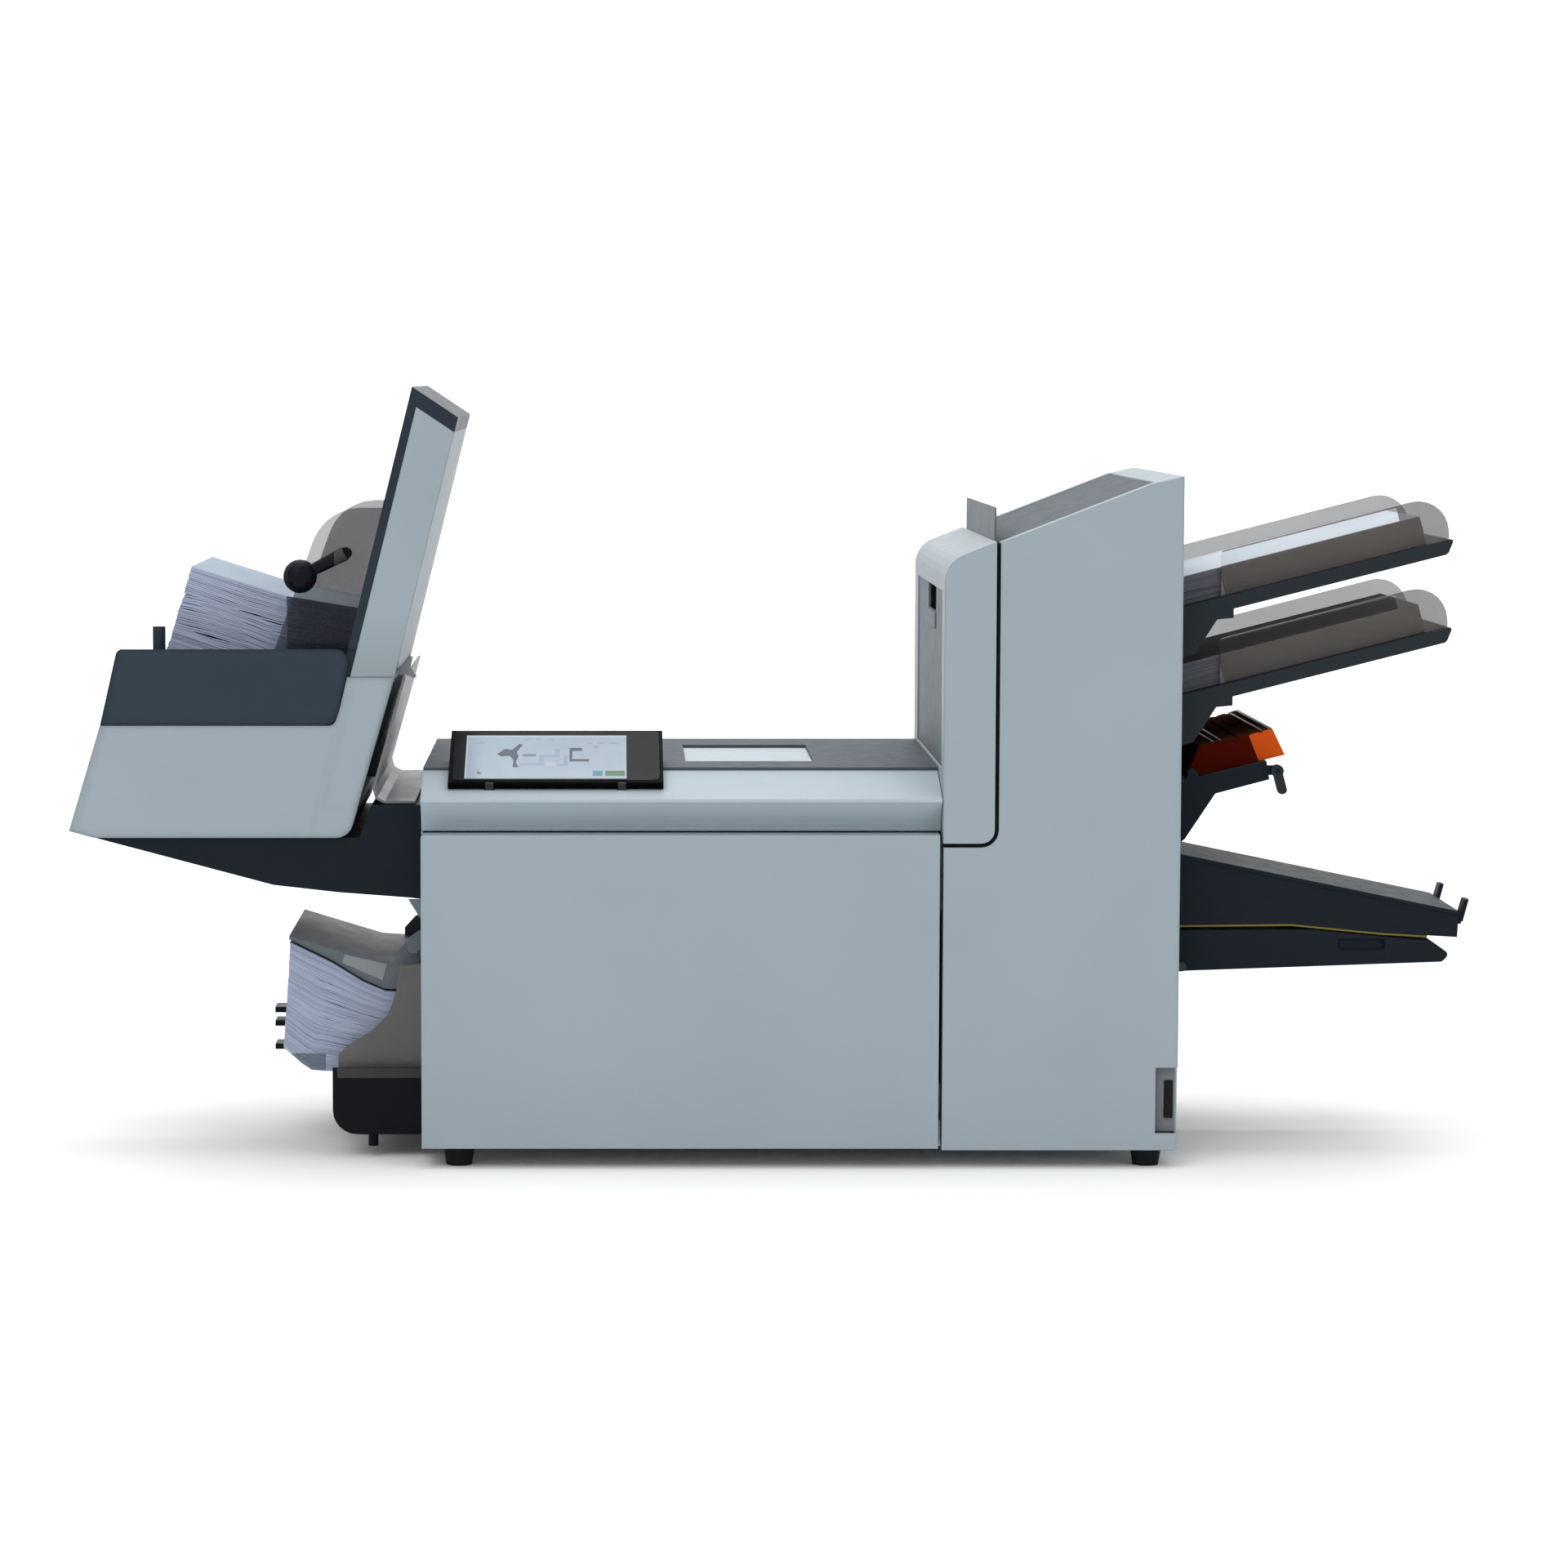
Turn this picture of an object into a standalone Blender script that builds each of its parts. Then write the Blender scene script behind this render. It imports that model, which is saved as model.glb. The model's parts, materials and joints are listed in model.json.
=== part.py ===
# Tabletop folder inserter: a folding cabinet, a feeder tower with two document trays, an envelope
# hopper and an upright output stacker. Metres, +Z up, +X from the stacker to the trays, front at -Y.
import math

import bmesh
import bpy
from mathutils import Matrix, Vector

# Driving dimensions
CABINET_LENGTH = 0.502
TOWER_LENGTH = 0.229
DEPTH = 0.420
FLOOR_GAP = 0.0185
LID_HEIGHT = 0.058
DECK_HEIGHT = 0.384
TOWER_HEIGHT = 0.6685
STACKER_REACH = 0.341
TRAY_REACH = 0.290

# Shared walls and clearances
FIT = 0.0003
COVER = 0.0025
SHEET = 0.002
OVERRUN = 0.010
RUNNING_FIT = 0.0005
EDGE_RADIUS = 0.003
SKIN = 0.003
FACET = math.radians(15)

TOWER_END = CABINET_LENGTH + TOWER_LENGTH
MACHINE_SPAN = STACKER_REACH + TOWER_END + TRAY_REACH
MIDDLE = DEPTH / 2
SEAM_HEIGHT = DECK_HEIGHT - LID_HEIGHT

for old in list(bpy.data.objects):
    bpy.data.objects.remove(old, do_unlink=True)

machine = bpy.data.collections.new("envelope_inserting_machine")
bpy.context.scene.collection.children.link(machine)
centre_frame = bpy.data.objects.new("centre_frame", None)
centre_frame.location = (STACKER_REACH - MACHINE_SPAN / 2, -MIDDLE, 0)
machine.objects.link(centre_frame)


def paint(name, colour, roughness, metallic=0.0):
    finish = bpy.data.materials.new(name)
    finish.use_nodes = True
    shader = finish.node_tree.nodes["Principled BSDF"]
    shader.inputs["Base Color"].default_value = (*colour, 1)
    shader.inputs["Roughness"].default_value = roughness
    shader.inputs["Metallic"].default_value = metallic
    return finish


LIGHT = paint("light_cover", (0.33, 0.40, 0.44), 0.45)
LIGHT_STRIP = paint("light_strip", (0.40, 0.48, 0.54), 0.4)
GREY = paint("grey_cover", (0.15, 0.17, 0.20), 0.5)
NAVY = paint("navy_plastic", (0.035, 0.055, 0.075), 0.45)
DARK = paint("dark_plastic", (0.015, 0.025, 0.035), 0.5)
STEEL = paint("zinc_steel", (0.55, 0.56, 0.57), 0.35, 1.0)
GEAR = paint("gear_acetal", (0.75, 0.74, 0.70), 0.4)
RUBBER = paint("black_rubber", (0.01, 0.01, 0.01), 0.8)
ROLLER = paint("roller_rubber", (0.05, 0.05, 0.055), 0.7)
SMOKE = paint("smoked_plastic", (0.10, 0.10, 0.10), 0.1)
PAPER = paint("paper_sheets", (0.75, 0.78, 0.80), 0.9)
ENVELOPE = paint("paper_envelopes", (0.45, 0.47, 0.65), 0.9)
ORANGE = paint("orange_plastic", (0.63, 0.11, 0.02), 0.4)
CHUTE_GREY = paint("chute_plastic", (0.18, 0.19, 0.20), 0.5)
SCREEN = paint("screen_glass", (0.02, 0.02, 0.025), 0.1)
SHELL_BLACK = paint("display_black", (0.008, 0.008, 0.01), 0.35)


# Shape helpers
def face_outward(body):
    bmesh.ops.recalc_face_normals(body, faces=body.faces)
    if body.calc_volume(signed=True) < 0:
        bmesh.ops.reverse_faces(body, faces=body.faces)


def keep(name, body, finish, origin=(0, 0, 0)):
    mesh = bpy.data.meshes.new(name)
    face_outward(body)
    body.to_mesh(mesh)
    body.free()
    mesh.transform(Matrix.Translation(-Vector(origin)))
    mesh.materials.append(finish)
    piece = bpy.data.objects.new(name, mesh)
    piece.location = origin
    piece.parent = centre_frame
    machine.objects.link(piece)
    return piece


def block(low, high):
    body = bmesh.new()
    bmesh.ops.create_cube(body, size=1)
    size = [b - a for a, b in zip(low, high)]
    middle = [(a + b) / 2 for a, b in zip(low, high)]
    bmesh.ops.scale(body, vec=size, verts=body.verts)
    bmesh.ops.translate(body, vec=middle, verts=body.verts)
    return body


def rod(start, end, radius, end_radius=None, sides=20):
    start, end = Vector(start), Vector(end)
    body = bmesh.new()
    bmesh.ops.create_cone(body, cap_ends=True, segments=sides, radius1=radius,
                          radius2=radius if end_radius is None else end_radius,
                          depth=(end - start).length)
    turn = (end - start).to_track_quat("Z", "Y").to_matrix().to_4x4()
    bmesh.ops.transform(body, matrix=Matrix.Translation((start + end) / 2) @ turn, verts=body.verts)
    return body


def ball(centre, radius):
    body = bmesh.new()
    bmesh.ops.create_uvsphere(body, u_segments=16, v_segments=10, radius=radius)
    bmesh.ops.translate(body, vec=centre, verts=body.verts)
    return body


def prism(rings, start, end, plane="XZ"):
    """A flat outline in XZ, YZ or XY, with any further rings as holes, drawn from start to end."""
    curve = bpy.data.curves.new("outline", "CURVE")
    curve.dimensions = "2D"
    curve.fill_mode = "BOTH"
    curve.extrude = (end - start) / 2
    for ring in rings:
        spline = curve.splines.new("POLY")
        spline.points.add(len(ring) - 1)
        spline.use_cyclic_u = True
        for point, (a, b) in zip(spline.points, ring):
            point.co = (a, b, 0, 1)
    sketch = bpy.data.objects.new("outline", curve)
    bpy.context.scene.collection.objects.link(sketch)
    drawn = sketch.evaluated_get(bpy.context.evaluated_depsgraph_get())
    mesh = bpy.data.meshes.new_from_object(drawn)
    body = bmesh.new()
    body.from_mesh(mesh)
    bpy.data.objects.remove(sketch, do_unlink=True)
    bpy.data.meshes.remove(mesh)
    bmesh.ops.remove_doubles(body, verts=body.verts, dist=FIT / 30)
    bmesh.ops.dissolve_limit(body, angle_limit=math.radians(1), verts=body.verts, edges=body.edges)
    middle = (start + end) / 2
    for vert in body.verts:
        a, b, depth = vert.co
        depth += middle
        vert.co = {"XZ": (a, depth, b), "YZ": (depth, a, b), "XY": (a, b, depth)}[plane]
    return body


def ring(centre, radius, sides=20):
    turn = 2 * math.pi / sides
    return [(centre[0] + radius * math.cos(turn * step), centre[1] + radius * math.sin(turn * step))
            for step in range(sides)]


def hull_side(points):
    """One side of the convex hull of sorted points."""
    side = []
    for point in points:
        while len(side) > 1:
            (ax, ay), (bx, by) = side[-2], side[-1]
            if (bx - ax) * (point[1] - ay) - (by - ay) * (point[0] - ax) > FIT ** 2 / 10:
                break
            side.pop()
        side.append(point)
    return side[:-1]


def eye(centre, radius, feet, sides=16):
    """The outline of a lug: a round end about its pin, running straight to its feet."""
    points = sorted(ring(centre, radius, sides) + feet)
    return hull_side(points) + hull_side(points[::-1])


def boolean(piece, tool, operation):
    mesh = bpy.data.meshes.new("tool")
    face_outward(tool)
    tool.to_mesh(mesh)
    tool.free()
    helper = bpy.data.objects.new("tool", mesh)
    helper.matrix_world = centre_frame.matrix_basis
    bpy.context.scene.collection.objects.link(helper)
    step = piece.modifiers.new("step", "BOOLEAN")
    step.operation = operation
    step.object = helper
    result = piece.evaluated_get(bpy.context.evaluated_depsgraph_get())
    shaped = bpy.data.meshes.new_from_object(result)
    piece.modifiers.clear()
    piece.data = shaped
    bpy.data.objects.remove(helper, do_unlink=True)


def cut(piece, *tools):
    for tool in tools:
        boolean(piece, tool, "DIFFERENCE")


def join(piece, *tools):
    for tool in tools:
        boolean(piece, tool, "UNION")


def trim(piece, outline, start, end, plane):
    """Keeps only what lies inside an outline, to round the edges that another outline can't."""
    boolean(piece, prism([outline], start, end, plane), "INTERSECT")


def round_edges(body, radius, chosen, segments=2):
    """Rounds the edges whose two ends both pass the test."""
    edges = [edge for edge in body.edges if all(chosen(vert.co) for vert in edge.verts)]
    bmesh.ops.bevel(body, geom=edges, offset=radius, segments=segments, profile=0.5,
                    affect="EDGES", clamp_overlap=True)
    return body


def near(value, target):
    return abs(value - target) < FIT / 3


def smooth(piece):
    piece.data.shade_smooth()
    piece.data.set_sharp_from_angle(angle=math.radians(35))


def rounded(points, radii):
    """Corner points with each corner turned into an arc of its own radius."""
    outline = []
    for index, corner in enumerate(points):
        radius = radii.get(index, 0)
        here = Vector(corner)
        if not radius:
            outline.append(tuple(here))
            continue
        back = (Vector(points[index - 1]) - here).normalized()
        ahead = (Vector(points[(index + 1) % len(points)]) - here).normalized()
        half = back.angle(ahead) / 2
        reach = radius / math.tan(half)
        centre = here + (back + ahead).normalized() * radius / math.sin(half)
        first = here + back * reach - centre
        last = here + ahead * reach - centre
        sweep = first.angle_signed(last)
        steps = max(2, round(abs(sweep) / FACET))
        for step in range(steps + 1):
            turned = first.copy()
            turned.rotate(Matrix.Rotation(-sweep * step / steps, 2))
            outline.append(tuple(centre + turned))
    return outline


def inset(points, distance):
    """The outline moved inward by one distance on every side."""
    count = len(points)
    area = sum(points[i - 1][0] * points[i][1] - points[i][0] * points[i - 1][1] for i in range(count))
    side = 1 if area > 0 else -1
    lines = []
    for index in range(count):
        start, end = Vector(points[index]), Vector(points[(index + 1) % count])
        along = (end - start).normalized()
        inward = Vector((-along.y, along.x)) * side * distance
        lines.append((start + inward, along))
    result = []
    for index in range(count):
        (p, d), (q, e) = lines[index - 1], lines[index]
        cross = d.x * e.y - d.y * e.x
        reach = ((q - p).x * e.y - (q - p).y * e.x) / cross
        result.append(tuple(p + d * reach))
    return result


def opened(outline, wall, test, shift):
    """The inside of a shell, its points that pass the test pushed on to open that side."""
    inner = inset(outline, wall)
    return [(a + shift[0], b + shift[1]) if test(*corner) else (a, b)
            for corner, (a, b) in zip(outline, inner)]


def scaled(corner, size, shares):
    return [(corner[0] + size[0] * a, corner[1] + size[1] * b) for a, b in shares]


def ribbon(path, thickness):
    """A sheet of one thickness that follows a path."""
    points = [Vector(point) for point in path]
    left, right = [], []
    for index, point in enumerate(points):
        before = (point - points[index - 1]).normalized() if index else None
        after = (points[index + 1] - point).normalized() if index < len(points) - 1 else None
        along = ((before or after) + (after or before)).normalized()
        normal = Vector((-along.y, along.x))
        lean = normal.dot(Vector((-(after or before).y, (after or before).x)))
        left.append(tuple(point + normal * thickness / 2 / lean))
        right.append(tuple(point - normal * thickness / 2 / lean))
    return left + right[::-1]


# Feet
FOOT_RADIUS = 0.0155
FOOT_TIP_RADIUS = 0.0125
FOOT_INSET_X = 0.0355
FOOT_INSET_RIGHT = 0.0275
FOOT_INSET_Y = 0.030


def make_feet():
    places = {"foot_front_left": (FOOT_INSET_X, FOOT_INSET_Y),
              "foot_front_right": (TOWER_END - FOOT_INSET_RIGHT, FOOT_INSET_Y),
              "foot_rear_left": (FOOT_INSET_X, DEPTH - FOOT_INSET_Y),
              "foot_rear_right": (TOWER_END - FOOT_INSET_RIGHT, DEPTH - FOOT_INSET_Y)}
    for name, (x, y) in places.items():
        body = rod((x, y, 0), (x, y, FLOOR_GAP - FIT), FOOT_TIP_RADIUS, FOOT_RADIUS, sides=24)
        smooth(keep(name, body, RUBBER))


# Base pan with the pins that the front door hinges on
REAR_SETBACK = 0.008
PAN_SETBACK = 0.0203
PAN_FLANGE = 0.025
DOOR_FLANGE = 0.024
DOOR_LIFT = 0.0015
DOOR_SEAM = 0.0025
DOOR_AXIS_Y = 0.005
DOOR_AXIS_RISE = 0.007
DOOR_PIN_RADIUS = 0.0012
DOOR_LUG_RADIUS = 0.0022
DOOR_LUG_LENGTH = 0.006
PAN_LEFT = COVER + FIT
PAN_RIGHT = TOWER_END - COVER - FIT
DOOR_LEFT = FIT
DOOR_RIGHT = CABINET_LENGTH - DOOR_SEAM
DOOR_AXIS_Z = FLOOR_GAP + DOOR_AXIS_RISE
CABINET_DEPTH = DEPTH - REAR_SETBACK
PAN_FRONT = DOOR_AXIS_Y + math.hypot(DOOR_FLANGE - DOOR_AXIS_Y, DOOR_AXIS_RISE - DOOR_LIFT) + RUNNING_FIT
PAN_REAR = DEPTH - PAN_SETBACK


def make_base_pan():
    low = (PAN_LEFT, PAN_FRONT, FLOOR_GAP)
    high = (PAN_RIGHT, PAN_REAR, FLOOR_GAP + PAN_FLANGE)
    pan = keep("base_pan", block(low, high), STEEL)
    cut(pan, block([value + SHEET for value in low],
                   (high[0] - SHEET, high[1] - SHEET, high[2] + OVERRUN)))
    for side, wall in ((1, DOOR_LEFT + COVER), (-1, DOOR_RIGHT - COVER)):
        inner = wall + side * FIT
        lug_end = inner + side * DOOR_LUG_LENGTH
        root = PAN_FRONT + SHEET / 2
        feet = [(root, DOOR_AXIS_Z - DOOR_LUG_RADIUS), (root, DOOR_AXIS_Z + DOOR_LUG_RADIUS)]
        lug = eye((DOOR_AXIS_Y, DOOR_AXIS_Z), DOOR_LUG_RADIUS, feet)
        join(pan,
             prism([lug], min(inner, lug_end), max(inner, lug_end), "YZ"),
             rod((lug_end - side * SHEET, DOOR_AXIS_Y, DOOR_AXIS_Z),
                 (wall - side * (COVER - FIT), DOOR_AXIS_Y, DOOR_AXIS_Z), DOOR_PIN_RADIUS, sides=12))


# Drop-down front door
DOOR_GAP = 0.001
DOOR_CORNER = 0.004
DOOR_TOP = SEAM_HEIGHT - DOOR_GAP


def make_front_door():
    bottom = FLOOR_GAP + DOOR_LIFT
    corners = [(DOOR_LEFT, bottom), (DOOR_RIGHT, bottom), (DOOR_RIGHT, DOOR_TOP), (DOOR_LEFT, DOOR_TOP)]
    door = keep("front_door", prism([rounded(corners, {3: DOOR_CORNER})], 0, DOOR_FLANGE), LIGHT,
                origin=(DOOR_LEFT, DOOR_AXIS_Y, DOOR_AXIS_Z))
    reach = DOOR_FLANGE + OVERRUN
    trim(door, rounded([(0, bottom - OVERRUN), (reach, bottom - OVERRUN), (reach, DOOR_TOP), (0, DOOR_TOP)],
                       {3: EDGE_RADIUS}), -OVERRUN, CABINET_LENGTH + OVERRUN, "YZ")
    trim(door, rounded([(DOOR_LEFT, 0), (CABINET_LENGTH + OVERRUN, 0), (CABINET_LENGTH + OVERRUN, reach),
                        (DOOR_LEFT, reach)], {0: EDGE_RADIUS / 2}), 0, TOWER_HEIGHT, "XY")
    cut(door,
        block((DOOR_LEFT + COVER, COVER, bottom - OVERRUN),
              (DOOR_RIGHT - COVER, DOOR_FLANGE + OVERRUN, DOOR_TOP - COVER)),
        rod((DOOR_LEFT - OVERRUN, DOOR_AXIS_Y, DOOR_AXIS_Z),
            (DOOR_RIGHT + OVERRUN, DOOR_AXIS_Y, DOOR_AXIS_Z), DOOR_PIN_RADIUS + FIT, sides=12))


# Side frames of the transport, with the shafts that run in them
FRAME_FRONT = 0.056
FRAME_LEFT = 0.008
FRAME_DROP = 0.0105
FRAME_TOP = SEAM_HEIGHT - FRAME_DROP
FRAME_END_SETBACK = 0.0052
FRAME_TOWER_START = 0.058
FRAME_TOWER_TOP = 0.0085
FRAME_STEP = 0.018
FRAME_COLUMN_START = 0.010
FRAME_COLUMN_DROP = 0.046
SHAFT_RADIUS = 0.004
BEARING_FIT = 0.0003
GEAR_MODULE = 0.0015
FOLD_TEETH = 22
KNOB_TEETH = 30
FOLD_RADIUS = GEAR_MODULE * FOLD_TEETH / 2
KNOB_RADIUS = GEAR_MODULE * KNOB_TEETH / 2
FOLD_NIP = 0.0008
FOLD_ROLLER_RADIUS = FOLD_RADIUS - FOLD_NIP / 2
FOLD_X = 0.300
FOLD_Z = 0.190
FOLD_ANGLE = math.radians(60)
KNOB_ANGLE = math.radians(250)
FEED_ROLLER_RADIUS = 0.014
FEED_ROLLER_LENGTH = 0.120
FEED_SETBACK = 0.011

LOWER_FOLD = (FOLD_X, FOLD_Z)
UPPER_FOLD = (FOLD_X + 2 * FOLD_RADIUS * math.cos(FOLD_ANGLE),
              FOLD_Z + 2 * FOLD_RADIUS * math.sin(FOLD_ANGLE))
KNOB = (FOLD_X + (FOLD_RADIUS + KNOB_RADIUS) * math.cos(KNOB_ANGLE),
        FOLD_Z + (FOLD_RADIUS + KNOB_RADIUS) * math.sin(KNOB_ANGLE))

# Tower slope, shared by its covers, frames and top plate
SHOULDER_DROP = 0.0629
GROOVE_START = 0.054
TOWER_CREST = 0.030
CREST_DROP = 0.0067
GROOVE_DROP = 0.0135
GROOVE_CORNER = 0.017
TOWER_SEAM = 0.001
TOWER_FLANGE = 0.020
TOWER_SHOULDER = TOWER_HEIGHT - SHOULDER_DROP
CREST_HEIGHT = TOWER_HEIGHT - CREST_DROP
GROOVE_FOOT = SEAM_HEIGHT - GROOVE_DROP
GROOVE_X = CABINET_LENGTH + GROOVE_START
CREST_X = TOWER_END - TOWER_CREST
TOWER_SLOPE = (CREST_HEIGHT - TOWER_SHOULDER) / (CREST_X - GROOVE_X)

# Document trays
TRAY_START = 0.0473
TRAY_LENGTH = 0.2262
TRAY_FROM_TOP = 0.1198
TRAY_SLOPE = math.radians(14.3)
TRAY_THICKNESS = 0.0135
TRAY_DROP = 0.0858
TRAY_WIDTH = 0.252
SHEET_WIDTH = 0.2159
SHEET_LENGTH = 0.2794
PILE_HEIGHT = 0.0275
PILE_START = 0.021
TRAY_RISE = TOWER_HEIGHT - TRAY_FROM_TOP


def tray_line(x, drop=0.0):
    """Height of a tray's bed at x."""
    return TRAY_RISE - drop + (x - TOWER_END - TRAY_START) * math.tan(TRAY_SLOPE)


def feed_shaft(drop):
    x = TOWER_END - FEED_SETBACK
    rise = (PILE_HEIGHT + FIT + FEED_ROLLER_RADIUS + FIT) / math.cos(TRAY_SLOPE)
    return (x, tray_line(x, drop) + rise)


WINDOW_LOW = 0.075
WINDOW_HIGH = 0.245
WINDOW_CORNER = 0.018
WINDOW_LEFT = 0.060
WINDOW_LENGTH = 0.150
WINDOW_RIGHT = 0.375


def make_frames():
    right = TOWER_END - FRAME_END_SETBACK
    tower_left = CABINET_LENGTH + FRAME_TOWER_START
    column_left = CABINET_LENGTH + FRAME_COLUMN_START
    shoulder = TOWER_SHOULDER - FRAME_TOWER_TOP
    bottom = FLOOR_GAP + SHEET + FIT
    outline = [(FRAME_LEFT, bottom), (right, bottom),
               (right, shoulder + (CREST_X - tower_left) * TOWER_SLOPE),
               (CREST_X, shoulder + (CREST_X - tower_left) * TOWER_SLOPE), (tower_left, shoulder),
               (tower_left, TOWER_SHOULDER - FRAME_TOWER_TOP - FRAME_STEP),
               (column_left, TOWER_SHOULDER - FRAME_COLUMN_DROP),
               (column_left, FRAME_TOP), (FRAME_LEFT, FRAME_TOP)]
    holes = [ring(place, SHAFT_RADIUS + BEARING_FIT)
             for place in (LOWER_FOLD, UPPER_FOLD, KNOB, feed_shaft(0), feed_shaft(TRAY_DROP))]
    for left in (WINDOW_LEFT, WINDOW_RIGHT):
        corners = [(left, WINDOW_LOW), (left + WINDOW_LENGTH, WINDOW_LOW),
                   (left + WINDOW_LENGTH, WINDOW_HIGH), (left, WINDOW_HIGH)]
        holes.append(rounded(corners, {index: WINDOW_CORNER for index in range(4)}))
    for name, start in (("front_frame", FRAME_FRONT), ("rear_frame", DEPTH - FRAME_FRONT - SHEET)):
        keep(name, prism([outline] + holes, start, start + SHEET), STEEL)


# Gear train and rollers
GEAR_FACE = 0.008
GEAR_GAP = 0.002
GEAR_ADDENDUM_SHARE = 0.9
GEAR_DEDENDUM_SHARE = 1.2
TOOTH_SHARE = 0.46
PRESSURE_ANGLE = math.radians(20)
SHAFT_END = 0.006
WHEEL_RADIUS = 0.024
WHEEL_FACE = 0.012
WHEEL_GRIP = 0.0016
WHEEL_LOBES = 12


def involute(radius, base):
    if radius <= base:
        return 0
    angle = math.acos(base / radius)
    return math.tan(angle) - angle


def gear_outline(centre, teeth, phase):
    """Straight-flanked teeth through the involute's width at root, pitch and tip."""
    pitch = GEAR_MODULE * teeth / 2
    base = pitch * math.cos(PRESSURE_ANGLE)
    root = pitch - GEAR_MODULE * GEAR_DEDENDUM_SHARE
    tip = pitch + GEAR_MODULE * GEAR_ADDENDUM_SHARE
    half_pitch = math.pi * TOOTH_SHARE / teeth
    points = []
    for tooth in range(teeth):
        middle = phase + 2 * math.pi * tooth / teeth
        widths = [half_pitch + involute(pitch, base) - involute(radius, base) for radius in (root, pitch, tip)]
        flank = list(zip((root, pitch, tip), widths))
        for radius, width in flank:
            points.append((centre[0] + radius * math.cos(middle - width),
                           centre[1] + radius * math.sin(middle - width)))
        for radius, width in reversed(flank):
            points.append((centre[0] + radius * math.cos(middle + width),
                           centre[1] + radius * math.sin(middle + width)))
    return points


def meshed_phase(driver, driver_teeth, driver_phase, place, teeth):
    """Phase that puts a gap of this gear where the driver has a tooth."""
    toward = math.atan2(place[1] - driver[1], place[0] - driver[0])
    lag = toward - driver_phase
    return toward + math.pi + math.pi / teeth + lag * driver_teeth / teeth


def make_gear_train():
    fold_phase = meshed_phase(KNOB, KNOB_TEETH, 0, LOWER_FOLD, FOLD_TEETH)
    upper_phase = meshed_phase(LOWER_FOLD, FOLD_TEETH, fold_phase, UPPER_FOLD, FOLD_TEETH)
    gear_end = FRAME_FRONT - GEAR_GAP
    gear_start = gear_end - GEAR_FACE
    rear = DEPTH - FRAME_FRONT
    for name, place, phase in (("lower_fold_roller", LOWER_FOLD, fold_phase),
                               ("upper_fold_roller", UPPER_FOLD, upper_phase)):
        x, z = place
        body = prism([gear_outline(place, FOLD_TEETH, phase)], gear_start, gear_end)
        roller = keep(name, body, ROLLER, origin=(x, MIDDLE, z))
        join(roller,
             rod((x, gear_start - GEAR_GAP, z), (x, rear + SHAFT_END, z), SHAFT_RADIUS),
             rod((x, FRAME_FRONT + SHEET + GEAR_GAP, z), (x, rear - SHEET - GEAR_GAP, z),
                 FOLD_ROLLER_RADIUS, sides=32))
        smooth(roller)
    x, z = KNOB
    lobes = []
    for step in range(WHEEL_LOBES * 4):
        turn = 2 * math.pi * step / (WHEEL_LOBES * 4)
        radius = WHEEL_RADIUS + WHEEL_GRIP * math.cos(WHEEL_LOBES * turn)
        lobes.append((x + radius * math.cos(turn), z + radius * math.sin(turn)))
    wheel_start = gear_start - GEAR_GAP - WHEEL_FACE
    knob = keep("hand_knob", prism([gear_outline(KNOB, KNOB_TEETH, 0)], gear_start, gear_end), GEAR,
                origin=(x, MIDDLE, z))
    join(knob,
         rod((x, wheel_start + GEAR_GAP, z), (x, rear + SHAFT_END, z), SHAFT_RADIUS),
         prism([lobes], wheel_start, wheel_start + WHEEL_FACE))
    smooth(knob)


def make_feed_rollers():
    for name, drop in (("upper_feed_roller", 0), ("lower_feed_roller", TRAY_DROP)):
        x, z = feed_shaft(drop)
        body = rod((x, FRAME_FRONT - SHAFT_END, z), (x, DEPTH - FRAME_FRONT + SHAFT_END, z), SHAFT_RADIUS)
        roller = keep(name, body, ROLLER, origin=(x, MIDDLE, z))
        join(roller, rod((x, MIDDLE - FEED_ROLLER_LENGTH / 2, z), (x, MIDDLE + FEED_ROLLER_LENGTH / 2, z),
                         FEED_ROLLER_RADIUS, sides=28))
        smooth(roller)


# Cabinet end and rear covers, with the ears that carry the envelope weight arm
THROAT_LOW = 0.070
THROAT_HIGH = 0.215
THROAT_WIDTH = 0.260
GUSSET_LENGTH = 0.013
GUSSET_TOP = 0.2583
GUSSET_DROP = 0.021
GUSSET_FACE = 0.006
ARM_AXIS_X = -0.012
ARM_AXIS_Z = 0.205
ARM_EAR = 0.0065
ARM_EAR_LOW = 0.007
ARM_EAR_HIGH = 0.020
ARM_EAR_NOSE = 0.005
ARM_WIDTH = 0.220
PIN_RADIUS = 0.002
PIN_REACH = 0.005
ARM_FRONT = MIDDLE - ARM_WIDTH / 2


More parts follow.
